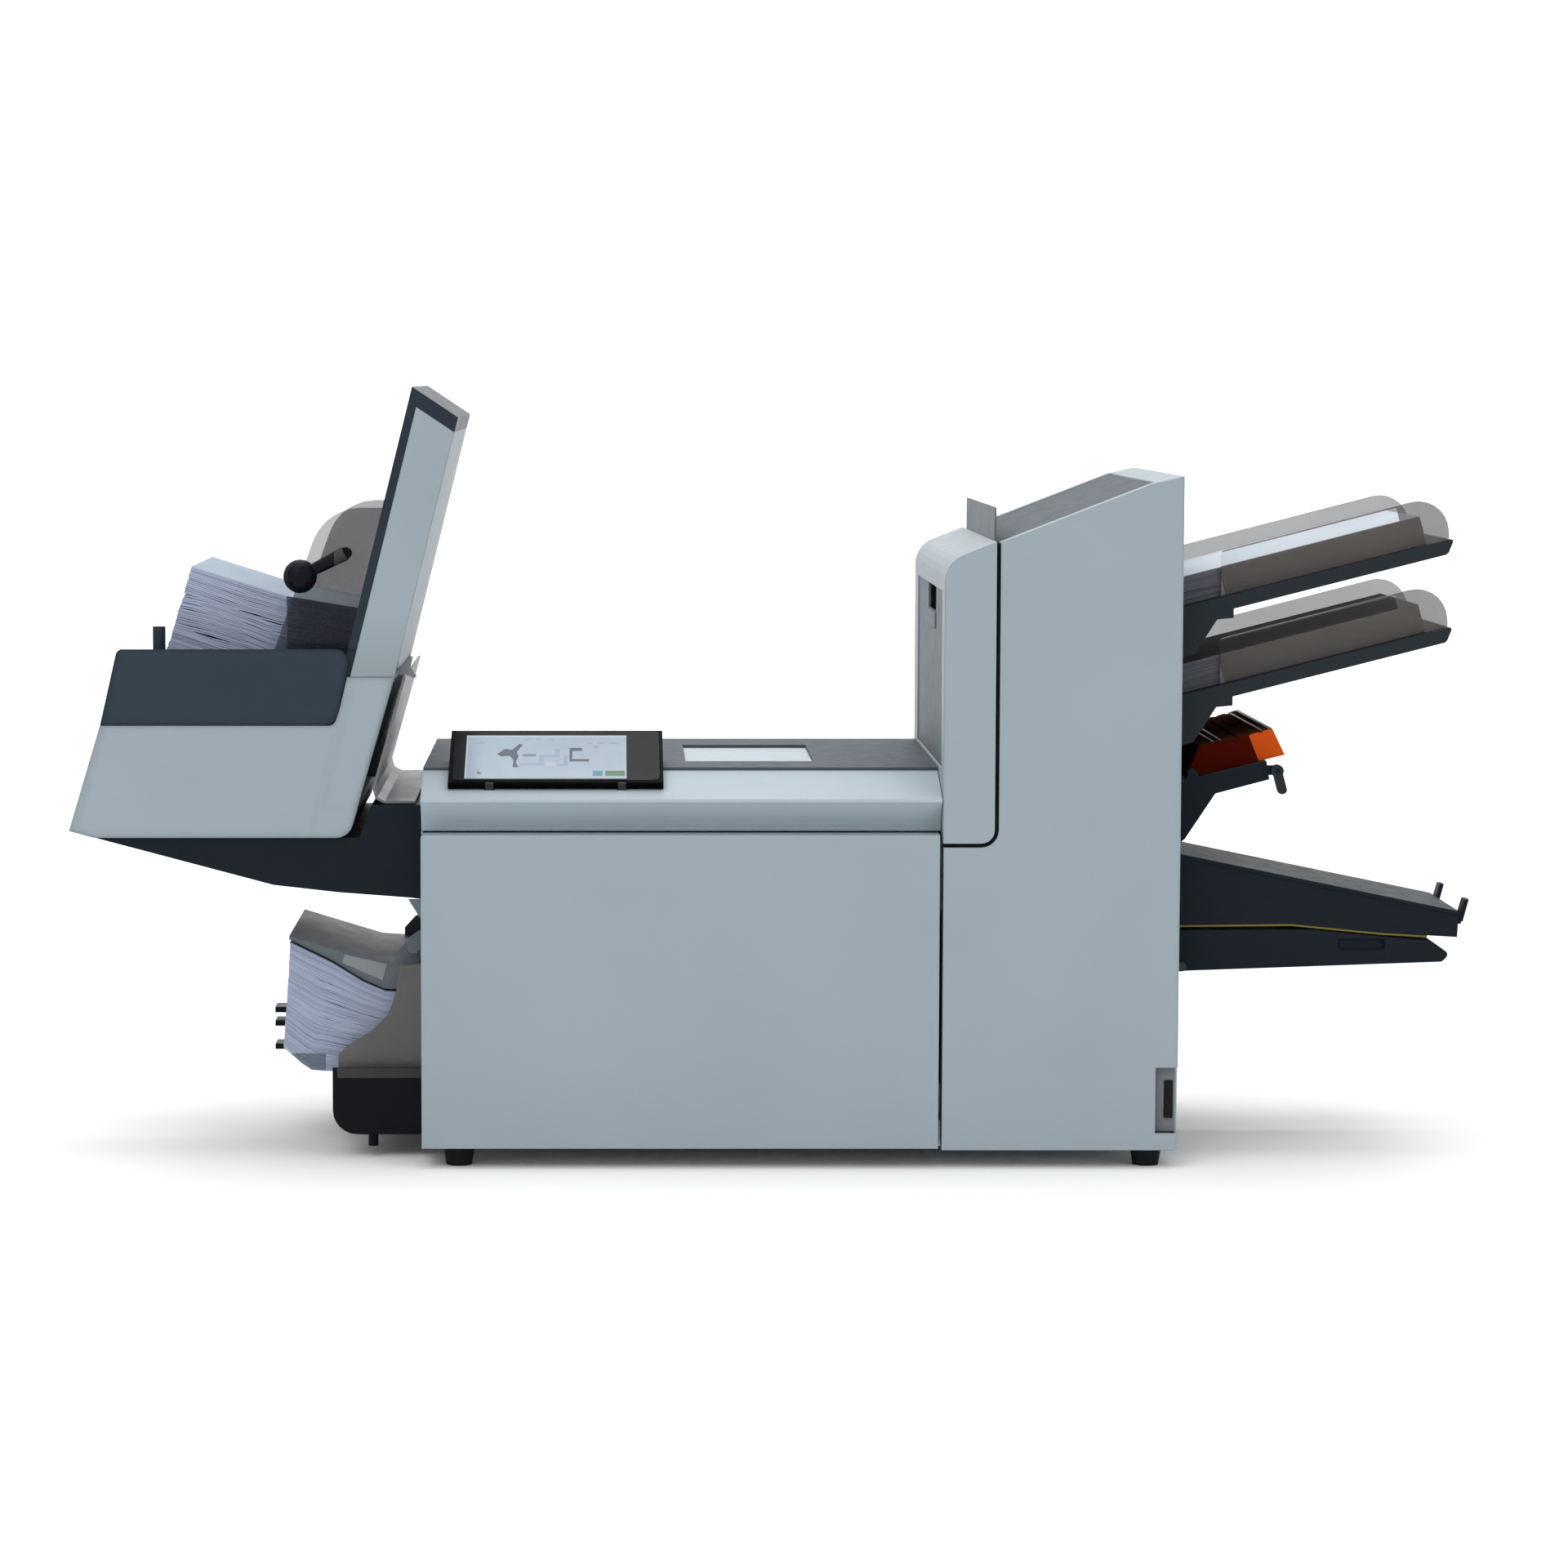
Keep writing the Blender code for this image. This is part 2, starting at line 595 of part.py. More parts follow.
def make_left_end_cover():
    cover = keep("left_end_cover",
                 block((0, PAN_FRONT, FLOOR_GAP), (COVER, CABINET_DEPTH - COVER - FIT, SEAM_HEIGHT - FIT)),
                 LIGHT)
    cut(cover, block((-OVERRUN, MIDDLE - THROAT_WIDTH / 2, THROAT_LOW),
                     (OVERRUN, MIDDLE + THROAT_WIDTH / 2, THROAT_HIGH)))
    gusset = [(-GUSSET_LENGTH, GUSSET_TOP), (COVER / 2, GUSSET_TOP), (COVER / 2, GUSSET_TOP - GUSSET_DROP),
              (0, GUSSET_TOP - GUSSET_DROP)]
    join(cover, prism([gusset], DOOR_FLANGE + OVERRUN, DOOR_FLANGE + OVERRUN + GUSSET_FACE))
    for start in (ARM_FRONT - RUNNING_FIT - ARM_EAR, DEPTH - ARM_FRONT + RUNNING_FIT):
        ear = rounded([(COVER / 2, ARM_AXIS_Z + ARM_EAR_HIGH), (COVER / 2, THROAT_HIGH),
                       (0, THROAT_HIGH), (ARM_AXIS_X + ARM_EAR_NOSE, ARM_AXIS_Z - ARM_EAR_LOW),
                       (ARM_AXIS_X - ARM_EAR_NOSE, ARM_AXIS_Z - ARM_EAR_LOW),
                       (ARM_AXIS_X - ARM_EAR_NOSE, ARM_AXIS_Z + ARM_EAR_LOW)], {4: ARM_EAR_NOSE})
        join(cover, prism([ear], start, start + ARM_EAR))
    cut(cover, rod((ARM_AXIS_X, ARM_FRONT - RUNNING_FIT - PIN_REACH - FIT, ARM_AXIS_Z),
                   (ARM_AXIS_X, DEPTH - ARM_FRONT + RUNNING_FIT + PIN_REACH + FIT, ARM_AXIS_Z),
                   PIN_RADIUS + FIT, sides=12))


HINGE_REACH = 0.0035
HINGE_RADIUS = 0.003
HINGE_LENGTH = 0.050
HINGE_LEAF = 0.030
HINGE_INSET = 0.090
HINGE_KNUCKLE = 0.012
HINGE_Y = CABINET_DEPTH + HINGE_REACH
VENT_COUNT = 8
VENT_PITCH = 0.014
VENT_SLOT = 0.005
VENT_LENGTH = 0.090
VENT_LEFT = 0.200
VENT_LOW = 0.080


def hinge_starts():
    return (HINGE_INSET, CABINET_LENGTH - HINGE_INSET - HINGE_LENGTH)


def make_rear_cover():
    cover = keep("rear_cover", block((0, CABINET_DEPTH - COVER, FLOOR_GAP),
                                     (CABINET_LENGTH - FIT, CABINET_DEPTH, SEAM_HEIGHT - FIT)), LIGHT)
    for row in range(VENT_COUNT):
        low = VENT_LOW + row * VENT_PITCH
        cut(cover, block((VENT_LEFT, CABINET_DEPTH - OVERRUN, low),
                         (VENT_LEFT + VENT_LENGTH, CABINET_DEPTH + OVERRUN, low + VENT_SLOT)))
    for start in hinge_starts():
        end = start + HINGE_LENGTH
        root = CABINET_DEPTH - COVER / 2
        feet = [(root, SEAM_HEIGHT - HINGE_LEAF), (root, SEAM_HEIGHT - HINGE_RADIUS),
                (HINGE_Y - HINGE_RADIUS / 2, SEAM_HEIGHT - HINGE_LEAF)]
        join(cover, prism([eye((HINGE_Y, SEAM_HEIGHT), HINGE_RADIUS, feet)], start, end, "YZ"))


# Lid: sloped front strip over a concave grip, with the dark deck plate on top
LID_LIP = 0.022
LID_EDGE_DROP = 0.0275
LID_EDGE_FACE = 0.0027
LID_SEAM = 0.0006
STRIP_DEPTH = 0.069
PLATE_THICKNESS = 0.003
LID_WALL = 0.003
COVE_BULGE_SHARE = 0.5
LID_EDGE_LOW = DECK_HEIGHT - LID_EDGE_DROP
LID_EDGE_HIGH = LID_EDGE_LOW + LID_EDGE_FACE
LID_BOTTOM = SEAM_HEIGHT + LID_SEAM
LID_TOP = DECK_HEIGHT - PLATE_THICKNESS
STRIP_SLOPE = (LID_TOP - LID_EDGE_HIGH) / STRIP_DEPTH
RECESS_LEFT = 0.257
RECESS_LENGTH = 0.127
RECESS_FRONT = 0.139
RECESS_DEPTH = 0.192
PLATE_MARGIN = 0.0005

# Display, hinged along its front edge on two ears of the lid
DISPLAY_LEFT = 0.026
DISPLAY_LENGTH = 0.208
DISPLAY_AXIS_Y = 0.0235
DISPLAY_NOSE = 0.0035
DISPLAY_TILT = math.radians(20.9)
DISPLAY_REAR = 0.134
DISPLAY_CORNER = 0.004
DISPLAY_FIT = 0.0006
SCREEN_MARGIN = 0.003
SCREEN_THICKNESS = 0.0015
SCREEN_CORNER = 0.007
EAR_LENGTH = 0.008
EAR_INSET = 0.036
DISPLAY_AXIS_Z = (LID_EDGE_HIGH + DISPLAY_AXIS_Y * STRIP_SLOPE
                  + (DISPLAY_NOSE + DISPLAY_FIT) * math.hypot(1, STRIP_SLOPE))


def ear_starts():
    return (DISPLAY_LEFT + EAR_INSET, DISPLAY_LEFT + DISPLAY_LENGTH - EAR_INSET - EAR_LENGTH)


def cove():
    """The concave underside of the strip, from the seam up to its front edge."""
    start, end = Vector((LID_LIP, LID_BOTTOM)), Vector((0, LID_EDGE_LOW))
    pull = Vector((LID_LIP, LID_BOTTOM + (LID_EDGE_LOW - LID_BOTTOM) * COVE_BULGE_SHARE))
    steps = 7
    points = []
    for step in range(steps + 1):
        t = step / steps
        points.append(tuple(start * (1 - t) ** 2 + pull * 2 * t * (1 - t) + end * t ** 2))
    return points


def make_lid():
    outline = cove() + [(0, LID_EDGE_HIGH), (STRIP_DEPTH, LID_TOP), (CABINET_DEPTH, LID_TOP),
                        (CABINET_DEPTH, LID_BOTTOM)]
    left, right = FIT, CABINET_LENGTH - FIT
    body = prism([outline], left, right, "YZ")
    lid = keep("top_lid", body, LIGHT_STRIP, origin=(left, HINGE_Y, SEAM_HEIGHT))
    inner_front, inner_back = LID_LIP + LID_WALL, CABINET_DEPTH - LID_WALL
    hollow = [(inner_front, LID_BOTTOM - OVERRUN), (inner_front, (LID_BOTTOM + LID_EDGE_LOW) / 2),
              (LID_LIP - LID_WALL * 2, LID_EDGE_LOW), (STRIP_DEPTH, LID_TOP - LID_WALL),
              (inner_back, LID_TOP - LID_WALL), (inner_back, LID_BOTTOM - OVERRUN)]
    cut(lid, prism([hollow], left + LID_WALL, right - LID_WALL, "YZ"))
    for start in hinge_starts():
        for low in (start - RUNNING_FIT - HINGE_KNUCKLE, start + HINGE_LENGTH + RUNNING_FIT):
            high = low + HINGE_KNUCKLE
            root = CABINET_DEPTH - LID_WALL / 2
            feet = [(root, LID_BOTTOM + HINGE_RADIUS), (root, LID_BOTTOM + HINGE_KNUCKLE)]
            join(lid, prism([eye((HINGE_Y, SEAM_HEIGHT), HINGE_RADIUS, feet)], low, high, "YZ"))
    ear_radius = DISPLAY_NOSE - FIT
    foot = LID_EDGE_HIGH + DISPLAY_AXIS_Y * STRIP_SLOPE - LID_WALL / 2
    for start in ear_starts():
        feet = [(DISPLAY_AXIS_Y - ear_radius, foot - ear_radius * STRIP_SLOPE),
                (DISPLAY_AXIS_Y + ear_radius, foot)]
        ear = eye((DISPLAY_AXIS_Y, DISPLAY_AXIS_Z), ear_radius, feet)
        join(lid, prism([ear], start, start + EAR_LENGTH, "YZ"))
    plate = keep("deck_plate",
                 block((left, STRIP_DEPTH + PLATE_MARGIN, LID_TOP + FIT),
                       (right, CABINET_DEPTH - PLATE_MARGIN, DECK_HEIGHT)), GREY)
    cut(plate, block((RECESS_LEFT, RECESS_FRONT, LID_TOP - OVERRUN),
                     (RECESS_LEFT + RECESS_LENGTH, RECESS_FRONT + RECESS_DEPTH, DECK_HEIGHT + OVERRUN)))


def make_display():
    strip = math.atan(STRIP_SLOPE)
    axis = Vector((DISPLAY_AXIS_Y, DISPLAY_AXIS_Z))
    under = axis + Vector((math.sin(strip), -math.cos(strip))) * DISPLAY_NOSE
    over = axis + Vector((-math.sin(DISPLAY_TILT), math.cos(DISPLAY_TILT))) * DISPLAY_NOSE
    step_y = STRIP_DEPTH - DISPLAY_FIT
    step_z = under.y + (step_y - under.x) * STRIP_SLOPE
    top_rear = over.y + (DISPLAY_REAR - over.x) * math.tan(DISPLAY_TILT)
    nose = []
    start, end = strip - math.pi / 2, DISPLAY_TILT - math.pi * 3 / 2
    for turn in range(1, 8):
        angle = start + (end - start) * turn / 8
        nose.append(tuple(axis + Vector((math.cos(angle), math.sin(angle))) * DISPLAY_NOSE))
    rest = DECK_HEIGHT + DISPLAY_FIT
    corners = [tuple(under), *nose, tuple(over), (DISPLAY_REAR, top_rear), (DISPLAY_REAR, rest),
               (step_y, rest), (step_y, step_z)]
    outline = rounded(corners, {9: DISPLAY_CORNER, 10: DISPLAY_CORNER})
    right = DISPLAY_LEFT + DISPLAY_LENGTH
    body = prism([outline], DISPLAY_LEFT, right, "YZ")
    housing = keep("display_housing", body, SHELL_BLACK,
                   origin=(DISPLAY_LEFT, DISPLAY_AXIS_Y, DISPLAY_AXIS_Z))
    for ear in ear_starts():
        cut(housing, block((ear - RUNNING_FIT, DISPLAY_AXIS_Y - DISPLAY_NOSE * 2,
                            DISPLAY_AXIS_Z - DISPLAY_NOSE * 3),
                           (ear + EAR_LENGTH + RUNNING_FIT, DISPLAY_AXIS_Y + DISPLAY_NOSE * 2,
                            DISPLAY_AXIS_Z + DISPLAY_NOSE)))
    length = (DISPLAY_REAR - over.x) / math.cos(DISPLAY_TILT) - DISPLAY_CORNER
    frame = Matrix.Translation((DISPLAY_LEFT, over.x, over.y)) @ Matrix.Rotation(DISPLAY_TILT, 4, "X")

    def sheet(margin, low, high):
        corners = [(margin, SCREEN_MARGIN), (DISPLAY_LENGTH - margin, SCREEN_MARGIN),
                   (DISPLAY_LENGTH - margin, length - margin), (margin, length - margin)]
        flat = prism([rounded(corners, {index: SCREEN_CORNER for index in range(4)})], low, high, "XY")
        bmesh.ops.transform(flat, matrix=frame, verts=flat.verts)
        return flat

    cut(housing, sheet(SCREEN_MARGIN, -SCREEN_THICKNESS, OVERRUN))
    keep("display_screen", sheet(SCREEN_MARGIN + FIT, -SCREEN_THICKNESS + FIT, FIT), SCREEN,
         origin=(DISPLAY_LEFT, DISPLAY_AXIS_Y, DISPLAY_AXIS_Z))


# Tower covers
POCKET_LENGTH = 0.022
POCKET_LOW = 0.035
POCKET_HIGH = 0.099
POCKET_DEPTH = 0.010
TOWER_EDGE = 0.005
SWITCH_LENGTH = 0.0075
SWITCH_HEIGHT = 0.036
SWITCH_FROM_END = 0.0045
SWITCH_PROUD = 0.003


def tower_outline():
    left = CABINET_LENGTH + TOWER_SEAM
    return rounded([(left, FLOOR_GAP), (TOWER_END, FLOOR_GAP), (TOWER_END, TOWER_HEIGHT),
                    (CREST_X, CREST_HEIGHT), (GROOVE_X, TOWER_SHOULDER), (GROOVE_X, GROOVE_FOOT),
                    (left, GROOVE_FOOT)],
                   {1: TOWER_EDGE, 5: GROOVE_CORNER})


def make_tower_covers():
    outline = tower_outline()
    plan = rounded([(0, 0), (TOWER_END, 0), (TOWER_END, DEPTH), (0, DEPTH)], {1: TOWER_EDGE, 2: TOWER_EDGE})
    panel = keep("tower_front_panel", prism([outline], 0, TOWER_FLANGE), LIGHT)
    trim(panel, plan, 0, TOWER_HEIGHT + OVERRUN, "XY")
    cut(panel, prism([inset(outline, COVER)], COVER, TOWER_FLANGE + OVERRUN))
    cut(panel, block((TOWER_END - POCKET_LENGTH, -OVERRUN, POCKET_LOW),
                     (TOWER_END + OVERRUN, POCKET_DEPTH + SHEET, POCKET_HIGH)))
    cover = keep("tower_rear_panel", prism([outline], DEPTH - TOWER_FLANGE, DEPTH), LIGHT)
    trim(cover, plan, 0, TOWER_HEIGHT + OVERRUN, "XY")
    cut(cover, prism([inset(outline, COVER)], DEPTH - TOWER_FLANGE - OVERRUN, DEPTH - COVER))


def make_power_panel():
    left = TOWER_END - POCKET_LENGTH + FIT
    slot_right = TOWER_END - SWITCH_FROM_END
    middle = (POCKET_LOW + POCKET_HIGH) / 2
    slot = ((slot_right - SWITCH_LENGTH, middle - SWITCH_HEIGHT / 2), (slot_right, middle + SWITCH_HEIGHT / 2))
    panel = keep("power_panel",
                 block((left, POCKET_DEPTH, POCKET_LOW + FIT), (TOWER_END - COVER - FIT, POCKET_DEPTH + SHEET,
                                                               POCKET_HIGH - FIT)), CHUTE_GREY)
    cut(panel, block((slot[0][0] - RUNNING_FIT, 0, slot[0][1] - RUNNING_FIT),
                     (slot[1][0] + RUNNING_FIT, POCKET_DEPTH + OVERRUN, slot[1][1] + RUNNING_FIT)))
    inner = [(POCKET_DEPTH - SWITCH_PROUD, slot[0][1]), (POCKET_DEPTH + SHEET, slot[0][1] + SHEET),
             (POCKET_DEPTH + SHEET, slot[1][1] - SHEET), (POCKET_DEPTH - SWITCH_PROUD / 3, slot[1][1]),
             (POCKET_DEPTH - SWITCH_PROUD / 3, middle)]
    keep("power_switch", prism([inner], slot[0][0], slot[1][0], "YZ"), RUBBER,
         origin=(slot[0][0], POCKET_DEPTH, middle))


MOUTH_WIDTH = 0.236
MOUTH_HEIGHT = 0.061
MOUTH_SILL = 0.002
TUCK = 0.0265
INSERT_MOUTH_DROP = 0.2845
INSERT_MOUTH_HEIGHT = 0.032
DIVERT_MOUTH_DROP = 0.364
DIVERT_MOUTH_HEIGHT = 0.0215
EXIT_AXIS_REACH = 0.009
EXIT_AXIS_DROP = 0.4785
EXIT_EAR = 0.0065
EXIT_EAR_RADIUS = 0.0045
EXIT_FRONT = 0.060

MOUTH_MARGIN = MIDDLE - MOUTH_WIDTH / 2
INSERT_MOUTH_LOW = TOWER_HEIGHT - INSERT_MOUTH_DROP
INSERT_MOUTH_HIGH = INSERT_MOUTH_LOW + INSERT_MOUTH_HEIGHT
DIVERT_MOUTH_LOW = TOWER_HEIGHT - DIVERT_MOUTH_DROP
DIVERT_MOUTH_HIGH = DIVERT_MOUTH_LOW + DIVERT_MOUTH_HEIGHT
EXIT_AXIS_X = TOWER_END + EXIT_AXIS_REACH
EXIT_AXIS_Z = TOWER_HEIGHT - EXIT_AXIS_DROP


def make_tower_end_cover():
    outer = TOWER_END
    inner = TOWER_END - COVER
    slope = (TOWER_HEIGHT - CREST_HEIGHT) / TOWER_CREST
    start = TOWER_END - TUCK
    crest = CREST_HEIGHT + (start - CREST_X) * slope
    outline = [(inner, FLOOR_GAP), (outer, FLOOR_GAP), (outer, TOWER_HEIGHT), (start, crest),
               (start, crest - COVER),
               (inner, TOWER_HEIGHT - COVER - COVER * slope * 2)]
    cover = keep("tower_end_cover", prism([outline], TOWER_FLANGE + FIT, DEPTH - TOWER_FLANGE - FIT), LIGHT)
    for drop in (0, TRAY_DROP):
        sill = tray_line(inner, drop) - MOUTH_SILL
        cut(cover, block((inner - OVERRUN, MOUTH_MARGIN, sill), (outer + OVERRUN, DEPTH - MOUTH_MARGIN,
                                                                 sill + MOUTH_HEIGHT)))
    for low, high in ((INSERT_MOUTH_LOW, INSERT_MOUTH_HIGH), (DIVERT_MOUTH_LOW, DIVERT_MOUTH_HIGH)):
        cut(cover, block((inner - OVERRUN, MOUTH_MARGIN, low), (outer + OVERRUN, DEPTH - MOUTH_MARGIN, high)))
    for start in (EXIT_FRONT - RUNNING_FIT - EXIT_EAR, DEPTH - EXIT_FRONT + RUNNING_FIT):
        root = outer - COVER / 2
        feet = [(root, EXIT_AXIS_Z - EXIT_EAR_RADIUS), (root, EXIT_AXIS_Z + EXIT_EAR_RADIUS)]
        join(cover, prism([eye((EXIT_AXIS_X, EXIT_AXIS_Z), EXIT_EAR_RADIUS, feet)], start, start + EXIT_EAR))
    cut(cover, rod((EXIT_AXIS_X, EXIT_FRONT - RUNNING_FIT - PIN_REACH - FIT, EXIT_AXIS_Z),
                   (EXIT_AXIS_X, DEPTH - EXIT_FRONT + RUNNING_FIT + PIN_REACH + FIT, EXIT_AXIS_Z),
                   PIN_RADIUS + FIT, sides=12))


TOP_PLATE = 0.0025
TOP_PLATE_SINK = 0.001


def make_tower_top_plate():
    left, right = GROOVE_X + FIT, TOWER_END - TUCK - FIT
    low = TOWER_SHOULDER - TOP_PLATE_SINK + (left - GROOVE_X) * TOWER_SLOPE
    high = TOWER_SHOULDER - TOP_PLATE_SINK + (min(right, CREST_X) - GROOVE_X) * TOWER_SLOPE
    outline = [(left, low), (CREST_X, high), (right, high), (right, high - TOP_PLATE),
               (CREST_X, high - TOP_PLATE), (left, low - TOP_PLATE)]
    keep("tower_top_plate", prism([outline], TOWER_FLANGE + FIT, DEPTH - TOWER_FLANGE - FIT), GREY)


# Column housing, its side door and the paper stop
COLUMN_LENGTH = 0.050
COLUMN_FOOT_DROP = 0.0095
COLUMN_TOP_RISE = 0.0006
COLUMN_CORNER = 0.028
COLUMN_TOE = 0.013
COLUMN_EDGE = 0.0024
SIDE_DOOR_FRONT = 0.030
SIDE_DOOR_REAR = 0.050
SIDE_DOOR_ABOVE_DECK = 0.003
SIDE_DOOR_DROP = 0.0482
SIDE_DOOR_SINK = 0.0017
SIDE_DOOR_AXIS_DEPTH = 0.0032
SIDE_DOOR_AXIS_RISE = 0.002
SIDE_DOOR_GAP = 0.0009
SIDE_DOOR_PIN = 0.0008
SIDE_DOOR_BOSS = 0.008
GRIP_FRONT = 0.130
GRIP_LENGTH = 0.105
GRIP_HEIGHT = 0.026
GRIP_BAR = 0.016
GRIP_PROUD = 0.0015
OPEN_MARGIN = 0.020
OPEN_SHOULDER = 0.010
STOP_THICKNESS = 0.002
STOP_FRONT = 0.035
STOP_REAR = 0.045
STOP_OVERLAP = 0.0212
STOP_HEIGHT = 0.053

COLUMN_FOOT = SEAM_HEIGHT - COLUMN_FOOT_DROP
COLUMN_TOP = TOWER_SHOULDER + COLUMN_TOP_RISE
SIDE_DOOR_LOW = DECK_HEIGHT + SIDE_DOOR_ABOVE_DECK
SIDE_DOOR_HIGH = COLUMN_TOP - SIDE_DOOR_DROP
SIDE_DOOR_AXIS_X = CABINET_LENGTH + SIDE_DOOR_AXIS_DEPTH
STOP_LOW = COLUMN_TOP - STOP_OVERLAP
STOP_HIGH = STOP_LOW + STOP_HEIGHT


def make_column():
    left = CABINET_LENGTH + FIT
    right = CABINET_LENGTH + COLUMN_LENGTH
    outline = rounded([(left, COLUMN_FOOT), (right, COLUMN_FOOT), (right, COLUMN_TOP),
                       (left, COLUMN_TOP - (right - left) * TOWER_SLOPE)], {1: COLUMN_TOE, 3: COLUMN_CORNER})
    column = keep("column_housing", prism([outline], 0, DEPTH), LIGHT)
    trim(column, rounded([(left, 0), (TOWER_END, 0), (TOWER_END, DEPTH), (left, DEPTH)],
                         {0: COLUMN_EDGE, 3: COLUMN_EDGE}), 0, TOWER_HEIGHT, "XY")
    cut(column, prism([inset(outline, COVER)], COVER, DEPTH - COVER))
    cut(column,
        block((right - COLUMN_TOE, OPEN_MARGIN, COLUMN_FOOT - OVERRUN),
              (right + OVERRUN, DEPTH - OPEN_MARGIN, COLUMN_TOP - OPEN_SHOULDER)),
        block((left + COVER, OPEN_MARGIN, COLUMN_FOOT - OVERRUN),
              (right + OVERRUN, DEPTH - OPEN_MARGIN, COLUMN_FOOT + COVER + FIT)),
        block((left - OVERRUN, SIDE_DOOR_FRONT, SIDE_DOOR_LOW),
              (left + COVER + FIT, DEPTH - SIDE_DOOR_REAR, SIDE_DOOR_HIGH)))
    rear = DEPTH - SIDE_DOOR_REAR - FIT
    face = CABINET_LENGTH + SIDE_DOOR_SINK
    pivot = (SIDE_DOOR_AXIS_X, MIDDLE, SIDE_DOOR_LOW + SIDE_DOOR_AXIS_RISE)
    for start in (SIDE_DOOR_FRONT - SIDE_DOOR_BOSS, rear + FIT):
        boss = ((left + COVER / 2, start, pivot[2] - SIDE_DOOR_BOSS / 2),
                (left + COVER + SIDE_DOOR_BOSS / 2, start + SIDE_DOOR_BOSS, pivot[2] + SIDE_DOOR_BOSS / 2))
        join(column, block(*boss))
    cut(column, rod((pivot[0], SIDE_DOOR_FRONT - PIN_REACH - FIT, pivot[2]),
                    (pivot[0], rear + PIN_REACH + FIT * 2, pivot[2]), SIDE_DOOR_PIN + FIT, sides=12))
    door = keep("column_door", block((face, SIDE_DOOR_FRONT + FIT, SIDE_DOOR_LOW + SIDE_DOOR_GAP),
                                     (face + COVER, rear, SIDE_DOOR_HIGH - FIT)), GREY, origin=pivot)
    grip_low = SIDE_DOOR_HIGH - GRIP_HEIGHT
    cut(door, block((face - OVERRUN, GRIP_FRONT, grip_low), (face + OVERRUN, GRIP_FRONT + GRIP_LENGTH,
                                                            SIDE_DOOR_HIGH + OVERRUN)))
    join(door, rod((pivot[0], SIDE_DOOR_FRONT - PIN_REACH, pivot[2]), (pivot[0], rear + PIN_REACH, pivot[2]),
                   SIDE_DOOR_PIN, sides=12))
    join(door, block((face - GRIP_PROUD, GRIP_FRONT, grip_low - GRIP_BAR),
                     (face + COVER / 2, GRIP_FRONT + GRIP_LENGTH, grip_low - FIT)))
    sheet = rounded([(STOP_FRONT, STOP_LOW), (DEPTH - STOP_REAR, STOP_LOW), (DEPTH - STOP_REAR, STOP_HIGH),
                     (STOP_FRONT, STOP_HIGH)], {2: EDGE_RADIUS, 3: EDGE_RADIUS})
    stop = prism([sheet], right + FIT, right + FIT + STOP_THICKNESS, "YZ")
    keep("paper_stop", stop, GREY)


# Document trays with their guides and sheets
TRAY_NOSE = 0.006
STUB_SHARES = [(0.0, 0.0), (0.36, 0.148), (0.73, 0.964), (1.0, 1.0)]
STUB_SIZE = (0.0592, 0.042)
STUB_DROP = 0.0617
CHEEK = 0.006
GUIDE_RISE = 0.0445
GUIDE_SETBACK = 0.0016
GUIDE_REAR_LEAD = 0.0125
GUIDE_END_MARGIN = 0.0025
GUIDE_CORNER = 0.030
GUIDE_TOE = 0.003
GUIDE_THICKNESS = 0.003
GUIDE_CLEAR = 0.0005


def make_document_tray(prefix, drop):
    def bed(x):
        return tray_line(x, drop)

    stub_low = TRAY_RISE - STUB_DROP - drop
    root_x = TOWER_END + FIT
    start = TOWER_END + TRAY_START
    end = start + TRAY_LENGTH
    under = TRAY_THICKNESS / math.cos(TRAY_SLOPE)
    stub = scaled((root_x, stub_low), STUB_SIZE, STUB_SHARES)
    stub_end = stub[-1][0]
    corners = stub + [(stub_end, bed(stub_end) - under), (end - TRAY_NOSE, bed(end - TRAY_NOSE) - under),
                      (end, bed(end)), (root_x, bed(root_x))]
    outline = rounded(corners, {5: TRAY_NOSE, 6: TRAY_NOSE / 3})
    front, rear = MIDDLE - TRAY_WIDTH / 2, MIDDLE + TRAY_WIDTH / 2
    tray = keep(prefix + "_tray", prism([outline], front, rear), DARK)
    hollow = [(root_x - OVERRUN, stub_low - OVERRUN), (stub[1][0] + CHEEK, stub_low - OVERRUN),
              (start - CHEEK, bed(root_x) - CHEEK), (root_x - OVERRUN, bed(root_x) - CHEEK)]
    cut(tray, prism([hollow], front + CHEEK, rear - CHEEK))
    guide_right = end - GUIDE_END_MARGIN
    inner = MIDDLE - SHEET_WIDTH / 2 - GUIDE_CLEAR
    for side, y, lead in (("front", inner - GUIDE_THICKNESS, 0), ("rear", DEPTH - inner, GUIDE_REAR_LEAD)):
        guide_left = start + GUIDE_SETBACK - lead
        guide = rounded([(guide_left, bed(guide_left) + FIT), (guide_right, bed(guide_right) + FIT),
                         (guide_right - GUIDE_TOE, bed(guide_right) + GUIDE_RISE),
                         (guide_left, bed(guide_left) + GUIDE_RISE)], {2: GUIDE_CORNER, 3: GUIDE_TOE})
        keep(f"{prefix}_guide_{side}", prism([guide], y, y + GUIDE_THICKNESS), SMOKE,
             origin=(guide_left, y, bed(guide_left)))
    left = TOWER_END - PILE_START
    right = left + SHEET_LENGTH * math.cos(TRAY_SLOPE)
    lift = FIT / math.cos(TRAY_SLOPE)
    lean = Vector((-math.sin(TRAY_SLOPE), math.cos(TRAY_SLOPE))) * PILE_HEIGHT
    base = [Vector((left, bed(left) + lift)), Vector((right, bed(right) + lift))]
    pile = [tuple(base[0]), tuple(base[1]), tuple(base[1] + lean), tuple(base[0] + lean)]
    keep(prefix + "_sheets", prism([pile], MIDDLE - SHEET_WIDTH / 2, MIDDLE + SHEET_WIDTH / 2), PAPER)


